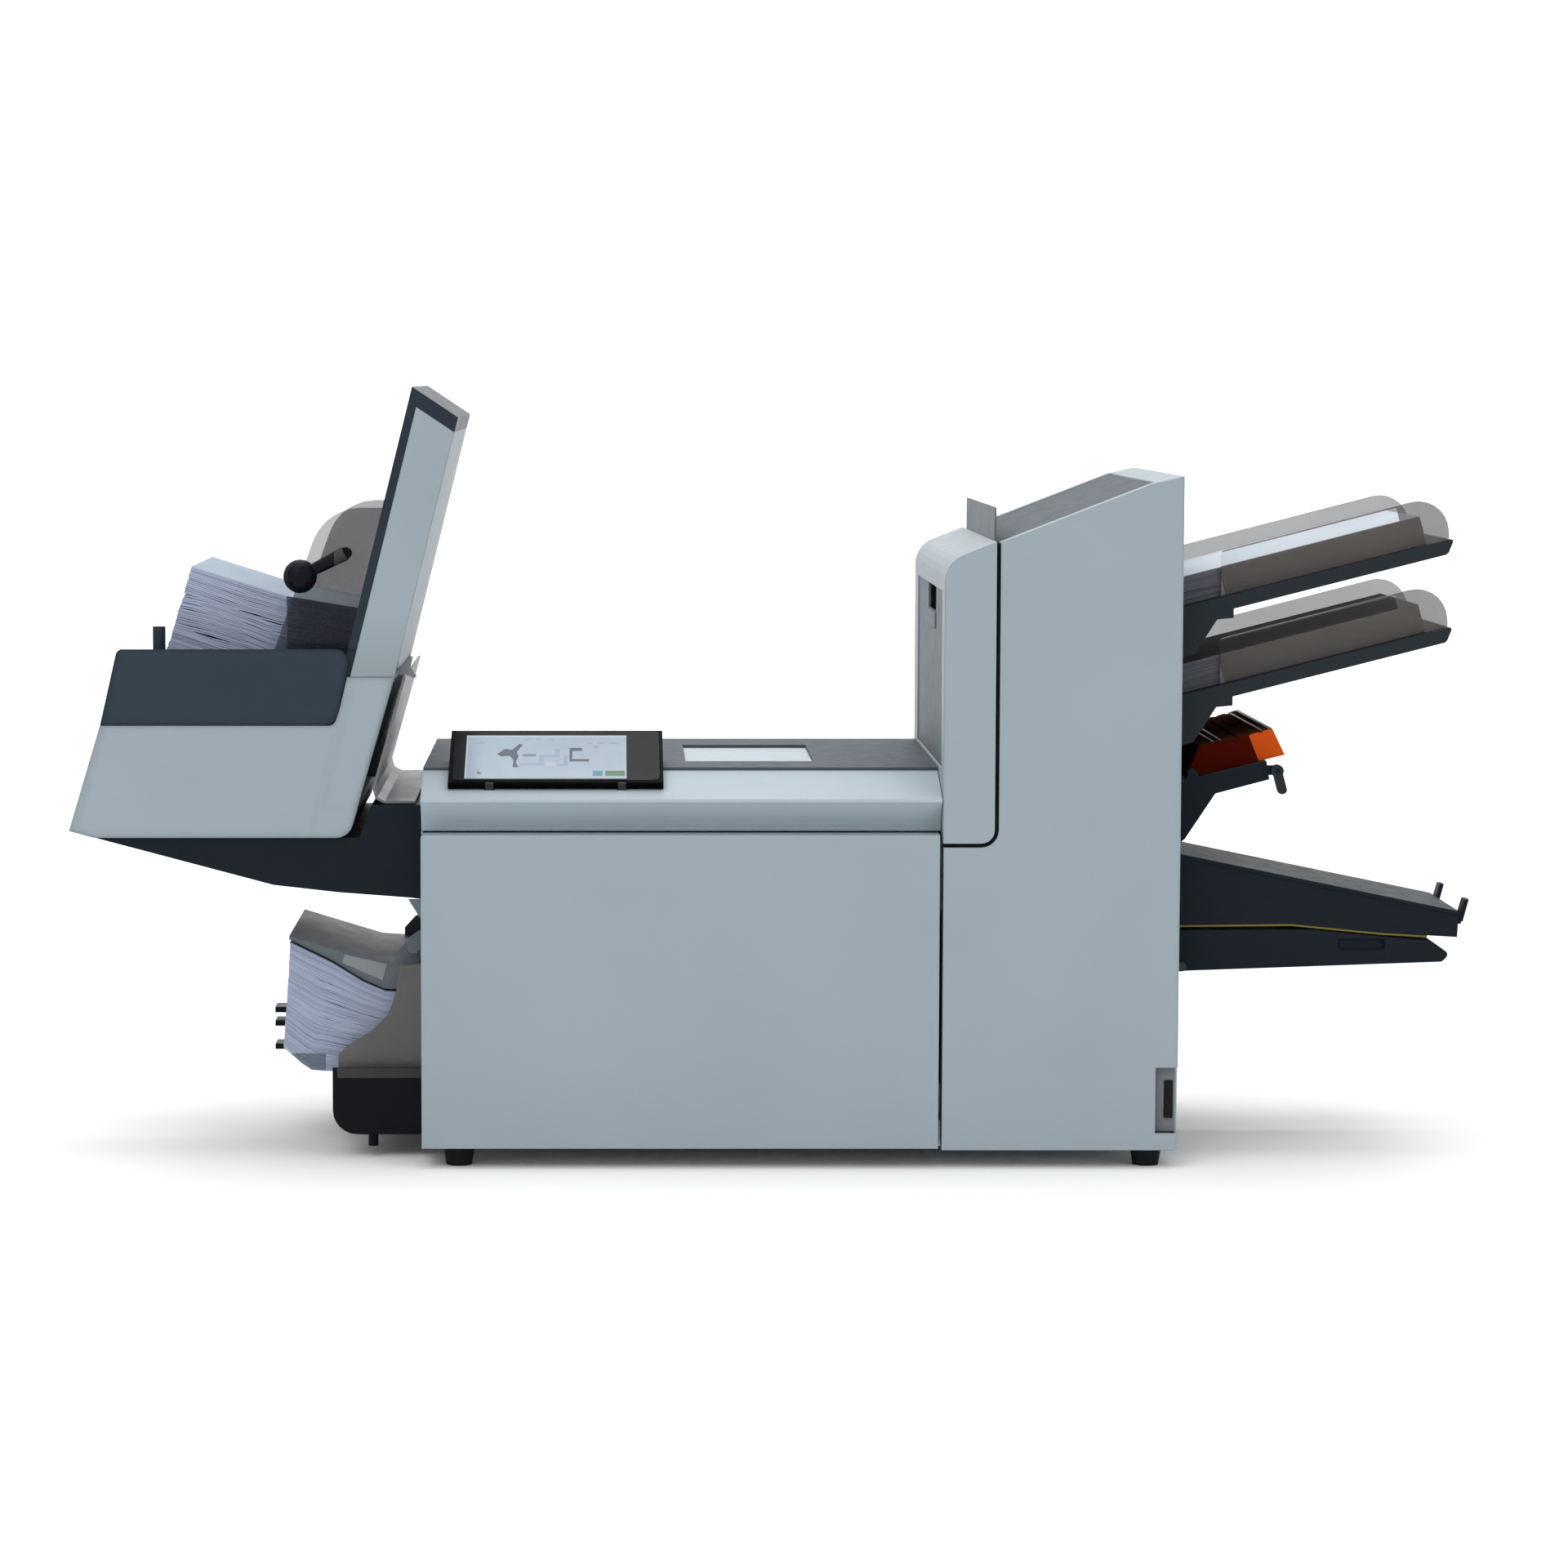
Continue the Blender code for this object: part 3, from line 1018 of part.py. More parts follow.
# Insert feeder with its orange hood
INSERT_DROP = 0.3663
INSERT_SIZE = (0.0955, 0.0871)
INSERT_SHARES = [(0.0, 0.0), (0.141, 0.118), (0.449, 0.632), (1.0, 0.792), (0.968, 1.0), (0.0, 0.741)]
INSERT_FRONT = 0.080
HOOD_LEFT = 0.017
HOOD_RISE = 0.0698
HOOD_SIZE = (0.0951, 0.0486)
HOOD_SHARES = [(0.0, 0.082), (0.042, 0.0), (0.705, 0.325), (1.0, 0.463), (0.866, 1.0), (0.597, 0.852),
               (0.118, 0.648)]
HOOD_FRONT = 0.090
HOOD_AXIS_REACH = 0.021
HOOD_AXIS_RISE = 0.0738
HOOD_EAR_RADIUS = 0.005
HOOD_EAR_SPREAD = 0.007
HOOD_SKIN = 0.005
RIB_COUNT = 3
RIB_WIDTH = 0.004
RIB_PITCH = 0.012
RIB_DEPTH = 0.0015
LEVER_REACH = 0.1025
LEVER_RISE = 0.0778
LEVER_HUB = 0.0062
LEVER_TAIL = 0.0045
LEVER_TIP = 0.004
LEVER_DROP_X = 0.006
LEVER_DROP_Z = 0.0225
LEVER_FACE = 0.008

INSERT_LOW = TOWER_HEIGHT - INSERT_DROP
HOOD_LOW = INSERT_LOW + HOOD_RISE
HOOD_AXIS_X = TOWER_END + HOOD_AXIS_REACH
HOOD_AXIS_Z = INSERT_LOW + HOOD_AXIS_RISE
LEVER_X = TOWER_END + LEVER_REACH
LEVER_Z = INSERT_LOW + LEVER_RISE


def make_insert_feeder():
    rear = DEPTH - INSERT_FRONT
    base_outline = scaled((TOWER_END + FIT, INSERT_LOW), INSERT_SIZE, INSERT_SHARES)
    base = keep("insert_base", prism([base_outline], INSERT_FRONT, rear), NAVY)
    cut(base, block((TOWER_END - OVERRUN, MOUTH_MARGIN, INSERT_LOW - OVERRUN),
                    (TOWER_END + INSERT_SIZE[0], DEPTH - MOUTH_MARGIN, DIVERT_MOUTH_HIGH + SHEET)))
    hollow = opened(base_outline, SKIN, lambda x, z: near(x, TOWER_END + FIT), (-OVERRUN, 0))
    cut(base, prism([hollow], MOUTH_MARGIN, DEPTH - MOUTH_MARGIN))
    ear_low = HOOD_AXIS_Z - OVERRUN
    for start, end in ((INSERT_FRONT, HOOD_FRONT - RUNNING_FIT), (DEPTH - HOOD_FRONT + RUNNING_FIT, rear)):
        feet = [(HOOD_AXIS_X - HOOD_EAR_SPREAD, ear_low), (HOOD_AXIS_X + HOOD_EAR_SPREAD, ear_low)]
        join(base, prism([eye((HOOD_AXIS_X, HOOD_AXIS_Z), HOOD_EAR_RADIUS, feet)], start, end))
    cut(base, rod((HOOD_AXIS_X, HOOD_FRONT - RUNNING_FIT - PIN_REACH - FIT, HOOD_AXIS_Z),
                  (HOOD_AXIS_X, DEPTH - HOOD_FRONT + RUNNING_FIT + PIN_REACH + FIT, HOOD_AXIS_Z),
                  PIN_RADIUS + FIT, sides=12))
    feet = [(LEVER_X - OVERRUN, LEVER_Z - LEVER_TAIL), (LEVER_X - OVERRUN, LEVER_Z + LEVER_TAIL)]
    join(base, prism([eye((LEVER_X, LEVER_Z), LEVER_TAIL, feet)], INSERT_FRONT, INSERT_FRONT + LEVER_FACE))
    join(base, rod((LEVER_X, INSERT_FRONT - LEVER_FACE, LEVER_Z), (LEVER_X, INSERT_FRONT + PIN_REACH, LEVER_Z),
                   PIN_RADIUS, sides=12))
    hood_outline = scaled((TOWER_END + HOOD_LEFT, HOOD_LOW), HOOD_SIZE, HOOD_SHARES)
    hood = keep("insert_hood", prism([hood_outline], HOOD_FRONT, DEPTH - HOOD_FRONT), ORANGE,
                origin=(HOOD_AXIS_X, MIDDLE, HOOD_AXIS_Z))
    hollow = opened(hood_outline, HOOD_SKIN, lambda x, z: (x, z) in hood_outline[1:3], (0, -OVERRUN))
    cut(hood, prism([hollow], HOOD_FRONT + SKIN * 2, DEPTH - HOOD_FRONT - SKIN * 2))
    crest, shoulder = Vector(hood_outline[4]), Vector(hood_outline[6])
    along = (shoulder - crest).normalized()
    normal = Vector((along.y, -along.x))
    for index in range(RIB_COUNT):
        middle = crest + along * RIB_PITCH * (index + 1)
        sides = [middle - along * RIB_WIDTH / 2, middle + along * RIB_WIDTH / 2]
        slot = [tuple(sides[0] + normal * OVERRUN), tuple(sides[1] + normal * OVERRUN),
                tuple(sides[1] - normal * RIB_DEPTH), tuple(sides[0] - normal * RIB_DEPTH)]
        cut(hood, prism([slot], HOOD_FRONT - OVERRUN, DEPTH - HOOD_FRONT + OVERRUN))
    join(hood, rod((HOOD_AXIS_X, HOOD_FRONT - RUNNING_FIT - PIN_REACH, HOOD_AXIS_Z),
                   (HOOD_AXIS_X, DEPTH - HOOD_FRONT + RUNNING_FIT + PIN_REACH, HOOD_AXIS_Z),
                   PIN_RADIUS, sides=12))
    lever_start = INSERT_FRONT - FIT - LEVER_FACE
    lever_end = INSERT_FRONT - FIT
    tail = (LEVER_X + LEVER_DROP_X, LEVER_Z - LEVER_DROP_Z)
    along = (Vector(tail) - Vector((LEVER_X, LEVER_Z))).normalized()
    across = Vector((-along.y, along.x))
    hub = Vector((LEVER_X, LEVER_Z))
    bar = [tuple(hub + across * LEVER_TAIL), tuple(Vector(tail) + across * LEVER_TAIL),
           tuple(Vector(tail) - across * LEVER_TAIL), tuple(hub - across * LEVER_TAIL)]
    lever = keep("insert_lever", rod((LEVER_X, lever_start, LEVER_Z), (LEVER_X, lever_end, LEVER_Z), LEVER_HUB),
                 DARK, origin=(LEVER_X, lever_end, LEVER_Z))
    join(lever, prism([rounded(bar, {1: LEVER_TIP, 2: LEVER_TIP})], lever_start, lever_end))
    cut(lever, rod((LEVER_X, lever_start - OVERRUN, LEVER_Z), (LEVER_X, lever_end + OVERRUN, LEVER_Z),
                   PIN_RADIUS + FIT, sides=12))


# Divert tray with its sliding end stop, and the hinged exit plate below it
DIVERT_DROP = 0.4502
DIVERT_SIZE = (0.2797, 0.0831)
DIVERT_SHARES = [(0.0, 0.141), (0.413, 0.155), (0.719, 0.053), (0.994, 0.0), (1.0, 0.306), (0.0, 1.0)]
DIVERT_FRONT = 0.060
DIVERT_WIDTH = 0.158
DIVERT_WALL = 0.003
DIVERT_LIP = 0.0012
DIVERT_LIP_DROP = 0.004
STOP_BAR = 0.002
STOP_TIP_RISE = 0.0367
STOP_FOOT_RISE = 0.0127
FINGER_WIDTH = 0.018
FINGER_INSET = 0.005
LEG_THICKNESS = 0.004
LEG_LENGTH = 0.085
LEG_DROP = 0.004
EXIT_DROP = 0.4835
EXIT_SIZE = (0.266, 0.0404)
EXIT_SHARES = [(0.0, 0.0), (0.973, 0.228), (1.0, 0.421), (0.939, 0.708), (0.497, 1.0), (0.0, 0.973)]
EXIT_LEFT = 0.005
EXIT_NOSE = 0.004
EXIT_SKIN = 0.008
GRASP_CORNER = (0.1615, 0.0195)
GRASP_SIZE = (0.046, 0.0125)
GRASP_DEPTH = 0.004
GRASP_RADIUS = 0.006

DIVERT_REAR = DIVERT_FRONT + DIVERT_WIDTH
FINGER_STARTS = (DIVERT_FRONT + FINGER_INSET, DIVERT_REAR - FINGER_INSET - FINGER_WIDTH)
DIVERT_LOW = TOWER_HEIGHT - DIVERT_DROP
STOP_TIP = DIVERT_LOW + STOP_TIP_RISE
STOP_FOOT = DIVERT_LOW + STOP_FOOT_RISE
EXIT_LOW = TOWER_HEIGHT - EXIT_DROP


def make_divert_tray():
    corner = (TOWER_END + FIT, DIVERT_LOW)
    outline = scaled(corner, DIVERT_SIZE, DIVERT_SHARES)
    tray = keep("divert_tray", prism([outline], DIVERT_FRONT, DIVERT_REAR), NAVY)
    inner = inset(outline, DIVERT_WALL)
    lowered = [(x, z - (OVERRUN if index < 4 else 0)) for index, (x, z) in enumerate(inner)]
    cut(tray, prism([lowered], DIVERT_FRONT + DIVERT_WALL, DIVERT_REAR - DIVERT_WALL))
    end_x, end_z = outline[4]
    top_left = outline[5]
    slope = (end_z - top_left[1]) / (end_x - top_left[0])
    cut(tray, prism([[(top_left[0] - OVERRUN, corner[1] - OVERRUN), (end_x + OVERRUN, corner[1] - OVERRUN),
                      (end_x + OVERRUN, end_z - DIVERT_LIP_DROP + OVERRUN * slope),
                      (top_left[0] - OVERRUN, top_left[1] - DIVERT_LIP_DROP - OVERRUN * slope)]],
                    DIVERT_FRONT - OVERRUN, DIVERT_FRONT + DIVERT_LIP))
    face = end_x + FIT
    tip = TOWER_END + TRAY_REACH
    root = face + STOP_BAR / 3
    finger = [(root, STOP_FOOT + STOP_BAR), (face + STOP_BAR * 2, STOP_FOOT + STOP_BAR), (tip, STOP_TIP),
              (tip - STOP_BAR * 2, STOP_TIP), (root, end_z - LEG_DROP - STOP_BAR)]
    bar_low = (face, FINGER_STARTS[0] - STOP_BAR, STOP_FOOT)
    bar_high = (face + STOP_BAR, FINGER_STARTS[1] + FINGER_WIDTH + STOP_BAR, end_z - LEG_DROP)
    stop = keep("divert_stop", block(bar_low, bar_high), NAVY)

    def leg(grow, start, end):
        top = end_z - LEG_DROP - LEG_THICKNESS / 2
        a, b = face + STOP_BAR * 2 / 3 + grow, face - LEG_LENGTH
        points = [(b, top + (b - face) * slope + grow), (a, top + (a - face) * slope + grow),
                  (a, top + (a - face) * slope - LEG_THICKNESS - grow),
                  (b, top + (b - face) * slope - LEG_THICKNESS - grow)]
        return prism([points], start - grow, end + grow)

    for start in FINGER_STARTS:
        end = start + FINGER_WIDTH
        cut(tray, leg(RUNNING_FIT, start + STOP_BAR, end - STOP_BAR))
        join(stop, prism([finger], start, end), leg(0, start + STOP_BAR, end - STOP_BAR))


def make_exit_plate():
    body = scaled((TOWER_END + EXIT_LEFT, EXIT_LOW), EXIT_SIZE, EXIT_SHARES)
    outline = rounded(body, {1: EXIT_NOSE, 2: EXIT_NOSE})
    plate = keep("exit_plate", prism([outline], EXIT_FRONT, DEPTH - EXIT_FRONT), NAVY,
                 origin=(EXIT_AXIS_X, MIDDLE, EXIT_AXIS_Z))
    hollow = opened(body, SKIN, lambda x, z: near(x, TOWER_END + EXIT_LEFT), (-OVERRUN, 0))
    cut(plate, prism([hollow], EXIT_FRONT + EXIT_SKIN, DEPTH - EXIT_FRONT - EXIT_SKIN))
    left, low = TOWER_END + GRASP_CORNER[0], EXIT_LOW + GRASP_CORNER[1]
    right, high = left + GRASP_SIZE[0], low + GRASP_SIZE[1]
    grasp = rounded([(left, low), (right, low), (right, high), (left, high)],
                    {0: GRASP_RADIUS, 1: GRASP_RADIUS})
    cut(plate, prism([grasp], EXIT_FRONT - OVERRUN, EXIT_FRONT + GRASP_DEPTH))
    join(plate, rod((EXIT_AXIS_X, EXIT_FRONT - RUNNING_FIT - PIN_REACH, EXIT_AXIS_Z),
                    (EXIT_AXIS_X, DEPTH - EXIT_FRONT + RUNNING_FIT + PIN_REACH, EXIT_AXIS_Z),
                    PIN_RADIUS, sides=12))


# Output stacker: leaning wall, band and body tub, elevator floor, guides and chute
LEAN = math.radians(14)
STACK_LEAN = math.radians(17.5)
WALL_FOOT = (-0.0716, 0.4962)
LINER = 0.0082
WALL_THICKNESS = 0.050
WALL_CHAMFER = 0.006
WALL_RISE = 0.2654
WALL_RISE_BACK = 0.2476
CAP_HEIGHT = 0.0145
STACKER_FRONT = 0.030
TUB_WALL = 0.003
BODY_LOW = 0.319
BODY_SIZE = (0.3153, 0.1556)
BODY_SHARES = [(0.0, 0.042), (0.075, 0.0), (0.859, 0.0), (1.0, 1.0), (0.856, 1.0), (0.832, 0.794),
               (0.815, 0.698), (0.098, 0.698)]
BODY_CORNER = 0.016
BAND_INSET = 0.0312
BAND_LOW = 0.4281
BAND_SIZE = (0.2429, 0.0736)
BAND_SHARES = [(0.0, 0.0), (0.928, 0.0), (0.949, 0.196), (1.0, 1.0), (0.07, 1.0)]
BAND_CORNER = 0.013
TUB_LEFT_HIGH = -0.289
TUB_LEFT_MIDDLE = -0.306
TUB_LEFT_LOW = -0.3335
BAND_FALL = 0.066
BODY_BACK_RISE = 0.027
TUB_FLOOR = 0.3225
LINER_FOOT = 0.332
FLOOR_HEIGHT = 0.440
STACKER_FLOOR_LENGTH = 0.177
STACKER_FLOOR_THICKNESS = 0.004
ENVELOPE_LENGTH = 0.176
ENVELOPE_WIDTH = 0.229
STACK_HEIGHT = 0.0902
STACK_WALL_HEIGHT = 0.1005
STACK_BEND = 0.079
POST_X = -0.2945
POST_LENGTH = 0.0125
POST_HEIGHT = 0.5035
SUPPORT_LOW = 0.259
SUPPORT_SIZE = (0.3162, 0.0915)
SUPPORT_LEFT = -0.3165
SUPPORT_SHARES = [(0.0, 0.652), (0.547, 0.149), (0.746, 0.071), (0.959, 0.016), (1.0, 0.0), (1.0, 1.0),
                  (0.848, 1.0), (0.81, 0.652)]
SUPPORT_FRONT = 0.034
CHUTE_THICKNESS = 0.0025
CHUTE_CORNER = (-0.0465, 0.3526)
CHUTE_SIZE = (0.0405, 0.1208)
CHUTE_SHARES = [(0.743, 1.0), (0.0, 0.115), (0.062, 0.036), (0.259, 0.0), (1.0, 0.0)]
CHUTE_FRONT = 0.040
GUIDE_STANDOFF = 0.0135
STACK_GUIDE_LOW = 0.478
STACK_GUIDE_HIGH = 0.6365
STACK_GUIDE_REACH = 0.0755
STACK_GUIDE_TOP = 0.058
STACK_GUIDE_CORNER = 0.050
LOCK_BALL = 0.0165
LOCK_BALL_X = -0.118
LOCK_BALL_Z = 0.5705
LOCK_HUB_X = -0.0745
LOCK_HUB_Z = 0.5925
LOCK_HUB = 0.006
LOCK_STANDOFF = 0.0165
LOCK_ARM = 0.0052
LOCK_ARM_END = 0.0072
RELEASE_Z = 0.480
RELEASE_HUB = 0.0045
RELEASE_FRONT = 0.044
RELEASE_FACE = 0.012
RELEASE_SIZE = (0.0144, 0.0216)
RELEASE_SHARES = [(0.0, 0.519), (0.563, 1.0), (0.75, 0.917), (0.594, 0.521), (1.0, 0.063), (0.813, 0.0),
                  (0.0, 0.27)]

STACK_GUIDE_FRONT = MIDDLE - ENVELOPE_WIDTH / 2 - GUIDE_STANDOFF - GUIDE_THICKNESS
LOCK_Y = STACK_GUIDE_FRONT - LOCK_STANDOFF


def lean(u, v):
    """A point u up along the stacker wall's left face and v out from it to the left."""
    return (WALL_FOOT[0] + u * math.sin(LEAN) - v * math.cos(LEAN),
            WALL_FOOT[1] + u * math.cos(LEAN) + v * math.sin(LEAN))


def lean_at(height, v):
    return lean((height - WALL_FOOT[1] - v * math.sin(LEAN)) / math.cos(LEAN), v)


def make_stacker_tub():
    rear = DEPTH - STACKER_FRONT
    inner = -LINER - FIT
    body_outline = rounded(scaled((-STACKER_REACH, BODY_LOW), BODY_SIZE, BODY_SHARES),
                           {2: BODY_CORNER, 6: BODY_CORNER / 2})
    solid = prism([body_outline], STACKER_FRONT, rear)
    body = keep("stacker_body", solid, LIGHT)
    band_top = BAND_LOW + BAND_SIZE[1]
    hollow = [lean_at(TUB_FLOOR, inner), lean_at(band_top + OVERRUN, inner),
              (TUB_LEFT_HIGH, band_top + OVERRUN), (TUB_LEFT_MIDDLE, BAND_LOW),
              (TUB_LEFT_LOW, BODY_LOW + OVERRUN), (TUB_LEFT_LOW + OVERRUN, TUB_FLOOR)]
    cut(body, prism([hollow], STACKER_FRONT + TUB_WALL, rear - TUB_WALL))
    band_outline = rounded(scaled((-STACKER_REACH + BAND_INSET, BAND_LOW), BAND_SIZE, BAND_SHARES),
                           {1: BAND_CORNER, 3: BAND_CORNER, 4: BAND_CORNER / 2})
    band = keep("stacker_band", prism([band_outline], STACKER_FRONT, rear), NAVY)
    cut(band, prism([hollow], STACKER_FRONT + TUB_WALL, rear - TUB_WALL))
    band_rear = band_top - (rear - STACKER_FRONT) * BAND_FALL
    trim(band, [(STACKER_FRONT, BAND_LOW), (rear, BAND_LOW), (rear, band_rear), (STACKER_FRONT, band_top)],
         -STACKER_REACH, 0, "YZ")
    join(band, block((POST_X, rear - OVERRUN, band_rear - OVERRUN), (POST_X + POST_LENGTH, rear, POST_HEIGHT)))
    support_outline = scaled((SUPPORT_LEFT, SUPPORT_LOW), SUPPORT_SIZE, SUPPORT_SHARES)
    support = keep("stacker_support", prism([support_outline], SUPPORT_FRONT, DEPTH - SUPPORT_FRONT), DARK)
    opening = opened(support_outline, SKIN, lambda x, z: near(x, SUPPORT_LEFT + SUPPORT_SIZE[0]), (OVERRUN, 0))
    cut(support, prism([opening], SUPPORT_FRONT + SKIN, DEPTH - SUPPORT_FRONT - SKIN))
    back_low = BODY_LOW + BODY_BACK_RISE
    back = [lean_at(back_low, inner - SKIN), lean_at(band_top, inner - SKIN),
            lean_at(band_top, SKIN - WALL_THICKNESS), lean_at(back_low, SKIN - WALL_THICKNESS)]
    cut(body, prism([back], STACKER_FRONT + TUB_WALL, rear - TUB_WALL))


def make_stacker_wall():
    rear = DEPTH - STACKER_FRONT
    seam = BODY_LOW + BODY_SIZE[1] + FIT
    inner = -LINER - FIT
    drop = (WALL_RISE - WALL_RISE_BACK) / WALL_THICKNESS
    cap_front = WALL_RISE - CAP_HEIGHT - LINER * drop
    cap_back = WALL_RISE_BACK - CAP_HEIGHT
    wall_outline = [lean(cap_front - FIT - FIT * drop, inner), lean(cap_back - FIT, -WALL_THICKNESS),
                    lean_at(seam, -WALL_THICKNESS), lean_at(seam, inner)]
    wall = prism([wall_outline], STACKER_FRONT, rear)
    round_edges(wall, WALL_CHAMFER,
                lambda co: near(co.y, STACKER_FRONT) and co.x > lean_at(co.z, -WALL_THICKNESS)[0] - FIT)
    shell = keep("stacker_wall", wall, LIGHT)
    opening = opened(wall_outline, SKIN, lambda x, z: near(z, seam), (0, -OVERRUN))
    cut(shell, prism([opening], STACKER_FRONT + TUB_WALL, rear - TUB_WALL))
    liner_outline = [lean(WALL_RISE, 0), lean(WALL_RISE_BACK, -WALL_THICKNESS), lean(cap_back, -WALL_THICKNESS),
                     lean(cap_front, -LINER), lean_at(LINER_FOOT, -LINER), lean_at(LINER_FOOT, 0)]
    liner = keep("stacker_liner", prism([liner_outline], STACKER_FRONT, rear), NAVY)
    band_top = BAND_LOW + BAND_SIZE[1] + FIT
    low_x, high_x = lean_at(LINER_FOOT - OVERRUN, OVERRUN)[0] - OVERRUN, 0
    for start, end in ((STACKER_FRONT - OVERRUN, STACKER_FRONT + TUB_WALL + FIT),
                       (rear - TUB_WALL - FIT, rear + OVERRUN)):
        cut(liner, block((low_x, start, LINER_FOOT - OVERRUN), (high_x, end, band_top)))


def on_floor(out, up):
    """A point up from the stacker floor's top and out along it, where zero out lies along the wall."""
    foot = Vector(lean_at(FLOOR_HEIGHT, RUNNING_FIT))
    if not out:
        return tuple(foot + Vector((math.sin(LEAN), math.cos(LEAN))) * up / math.cos(STACK_LEAN - LEAN))
    return (foot.x - out * math.cos(STACK_LEAN) + up * math.sin(STACK_LEAN),
            foot.y + out * math.sin(STACK_LEAN) + up * math.cos(STACK_LEAN))


def make_stacker_elevator():
    front = MIDDLE - ENVELOPE_WIDTH / 2
    floor = [on_floor(0, -STACKER_FLOOR_THICKNESS), on_floor(0, 0), on_floor(STACKER_FLOOR_LENGTH, 0),
             on_floor(STACKER_FLOOR_LENGTH, -STACKER_FLOOR_THICKNESS)]
    keep("stacker_floor", prism([floor], front + SHEET, DEPTH - front - SHEET), DARK)
    stack = [on_floor(0, FIT), on_floor(0, STACK_WALL_HEIGHT), on_floor(STACK_BEND, STACK_HEIGHT),
             on_floor(ENVELOPE_LENGTH, STACK_HEIGHT), on_floor(ENVELOPE_LENGTH, FIT)]
    keep("stacker_envelopes", prism([stack], front, DEPTH - front), ENVELOPE)


def make_stacker_guides():
    foot = lean_at(STACK_GUIDE_LOW, FIT)
    crest = lean_at(STACK_GUIDE_HIGH, FIT)
    outline = rounded([foot, crest, (crest[0] - STACK_GUIDE_TOP, STACK_GUIDE_HIGH),
                       (foot[0] - STACK_GUIDE_REACH, STACK_GUIDE_LOW)], {2: STACK_GUIDE_CORNER})
    for name, y in (("stacker_guide_front", STACK_GUIDE_FRONT),
                    ("stacker_guide_rear", DEPTH - STACK_GUIDE_FRONT - GUIDE_THICKNESS)):
        keep(name, prism([outline], y, y + GUIDE_THICKNESS), SMOKE, origin=(foot[0], y, foot[1]))
    face = STACK_GUIDE_FRONT - FIT
    knob = keep("guide_lock_lever", ball((LOCK_BALL_X, LOCK_Y, LOCK_BALL_Z), LOCK_BALL), DARK,
                origin=(LOCK_HUB_X, face, LOCK_HUB_Z))
    join(knob,
         rod((LOCK_BALL_X, LOCK_Y, LOCK_BALL_Z), (LOCK_HUB_X, LOCK_Y, LOCK_HUB_Z), LOCK_ARM, LOCK_ARM_END),
         rod((LOCK_HUB_X, LOCK_Y, LOCK_HUB_Z), (LOCK_HUB_X, face, LOCK_HUB_Z), LOCK_HUB))
    smooth(knob)


def make_chute():
    path = scaled(CHUTE_CORNER, CHUTE_SIZE, CHUTE_SHARES)
    keep("exit_chute", prism([ribbon(path, CHUTE_THICKNESS)], CHUTE_FRONT, DEPTH - CHUTE_FRONT), CHUTE_GREY)
    x, z = lean_at(RELEASE_Z, -WALL_THICKNESS - FIT - RELEASE_HUB)
    end = RELEASE_FRONT + RELEASE_FACE
    lever = keep("release_lever", rod((x, RELEASE_FRONT, z), (x, end, z), RELEASE_HUB, sides=16), CHUTE_GREY,
                 origin=(x, end, z))
    arm = scaled((x, z - RELEASE_SIZE[1] / 3), RELEASE_SIZE, RELEASE_SHARES)
    join(lever, prism([arm], RELEASE_FRONT, end))


# Envelope hopper
HOPPER_LEFT = -0.0892
HOPPER_BED = 0.079
HOPPER_CHEEK = 0.0104
HOPPER_FLOOR = 0.0237
HOPPER_CORNER = 0.024
HOPPER_WIDTH = 0.300
HOPPER_CHEEK_WALL = 0.004
SCREW_RADIUS = 0.005
SCREW_DROP = 0.0125
SCREW_X = -0.050
HGUIDE_SIZE = (0.0836, 0.1106)
HGUIDE_SHARES = [(0.0, 0.0), (0.001, 0.184), (0.094, 0.256), (0.398, 0.398), (0.585, 0.54), (0.679, 0.735),
                 (0.728, 0.983), (1.0, 1.0), (1.0, 0.0)]
HGUIDE_LEFT = -0.0846
PILE_SHARES = [(0.046, 1.0), (0.002, 0.605), (0.0, 0.191), (0.072, 0.114), (0.158, 0.015), (0.327, 0.0),
               (1.0, 0.0), (1.0, 0.589), (0.632, 0.621), (0.501, 0.691), (0.306, 0.841)]
PILE_SIZE = (0.1604, 0.1286)
PILE_LEFT = -0.1404
ARM_SIZE = (0.1288, 0.0531)
ARM_CORNER = (-0.1338, 0.1614)
ARM_SHARES = [(0.0, 0.934), (0.0, 1.0), (0.626, 0.539), (0.868, 0.944), (1.0, 0.944), (1.0, 0.256),
              (0.899, 0.0), (0.732, 0.008), (0.573, 0.177), (0.33, 0.542)]
ARM_HOLLOW_SHARES = [(0.33, 0.757), (0.626, 0.539), (1.0, 0.539), (1.0, 0.256), (0.899, 0.0), (0.732, 0.008),
                     (0.573, 0.177), (0.33, 0.542)]
TONGUE_CORNER = (-0.1423, 0.0778)
TONGUE_SIZE = (0.0528, 0.0562)
TONGUE_SHARES = [(1.0, 0.0), (0.502, 0.041), (0.231, 0.281), (0.0, 0.466), (0.0, 1.0)]
TONGUE_THICKNESS = 0.002
TONGUE_WIDTH = 0.030
TOOTH_LENGTH = 0.0122
TOOTH_HEIGHT = 0.0055
TOOTH_ROOT = 0.011
TOOTH_SHARES = (0.199, 0.617, 0.861)

HOPPER_FRONT = MIDDLE - HOPPER_WIDTH / 2
TONGUE_FRONT = MIDDLE - TONGUE_WIDTH * 5 / 6


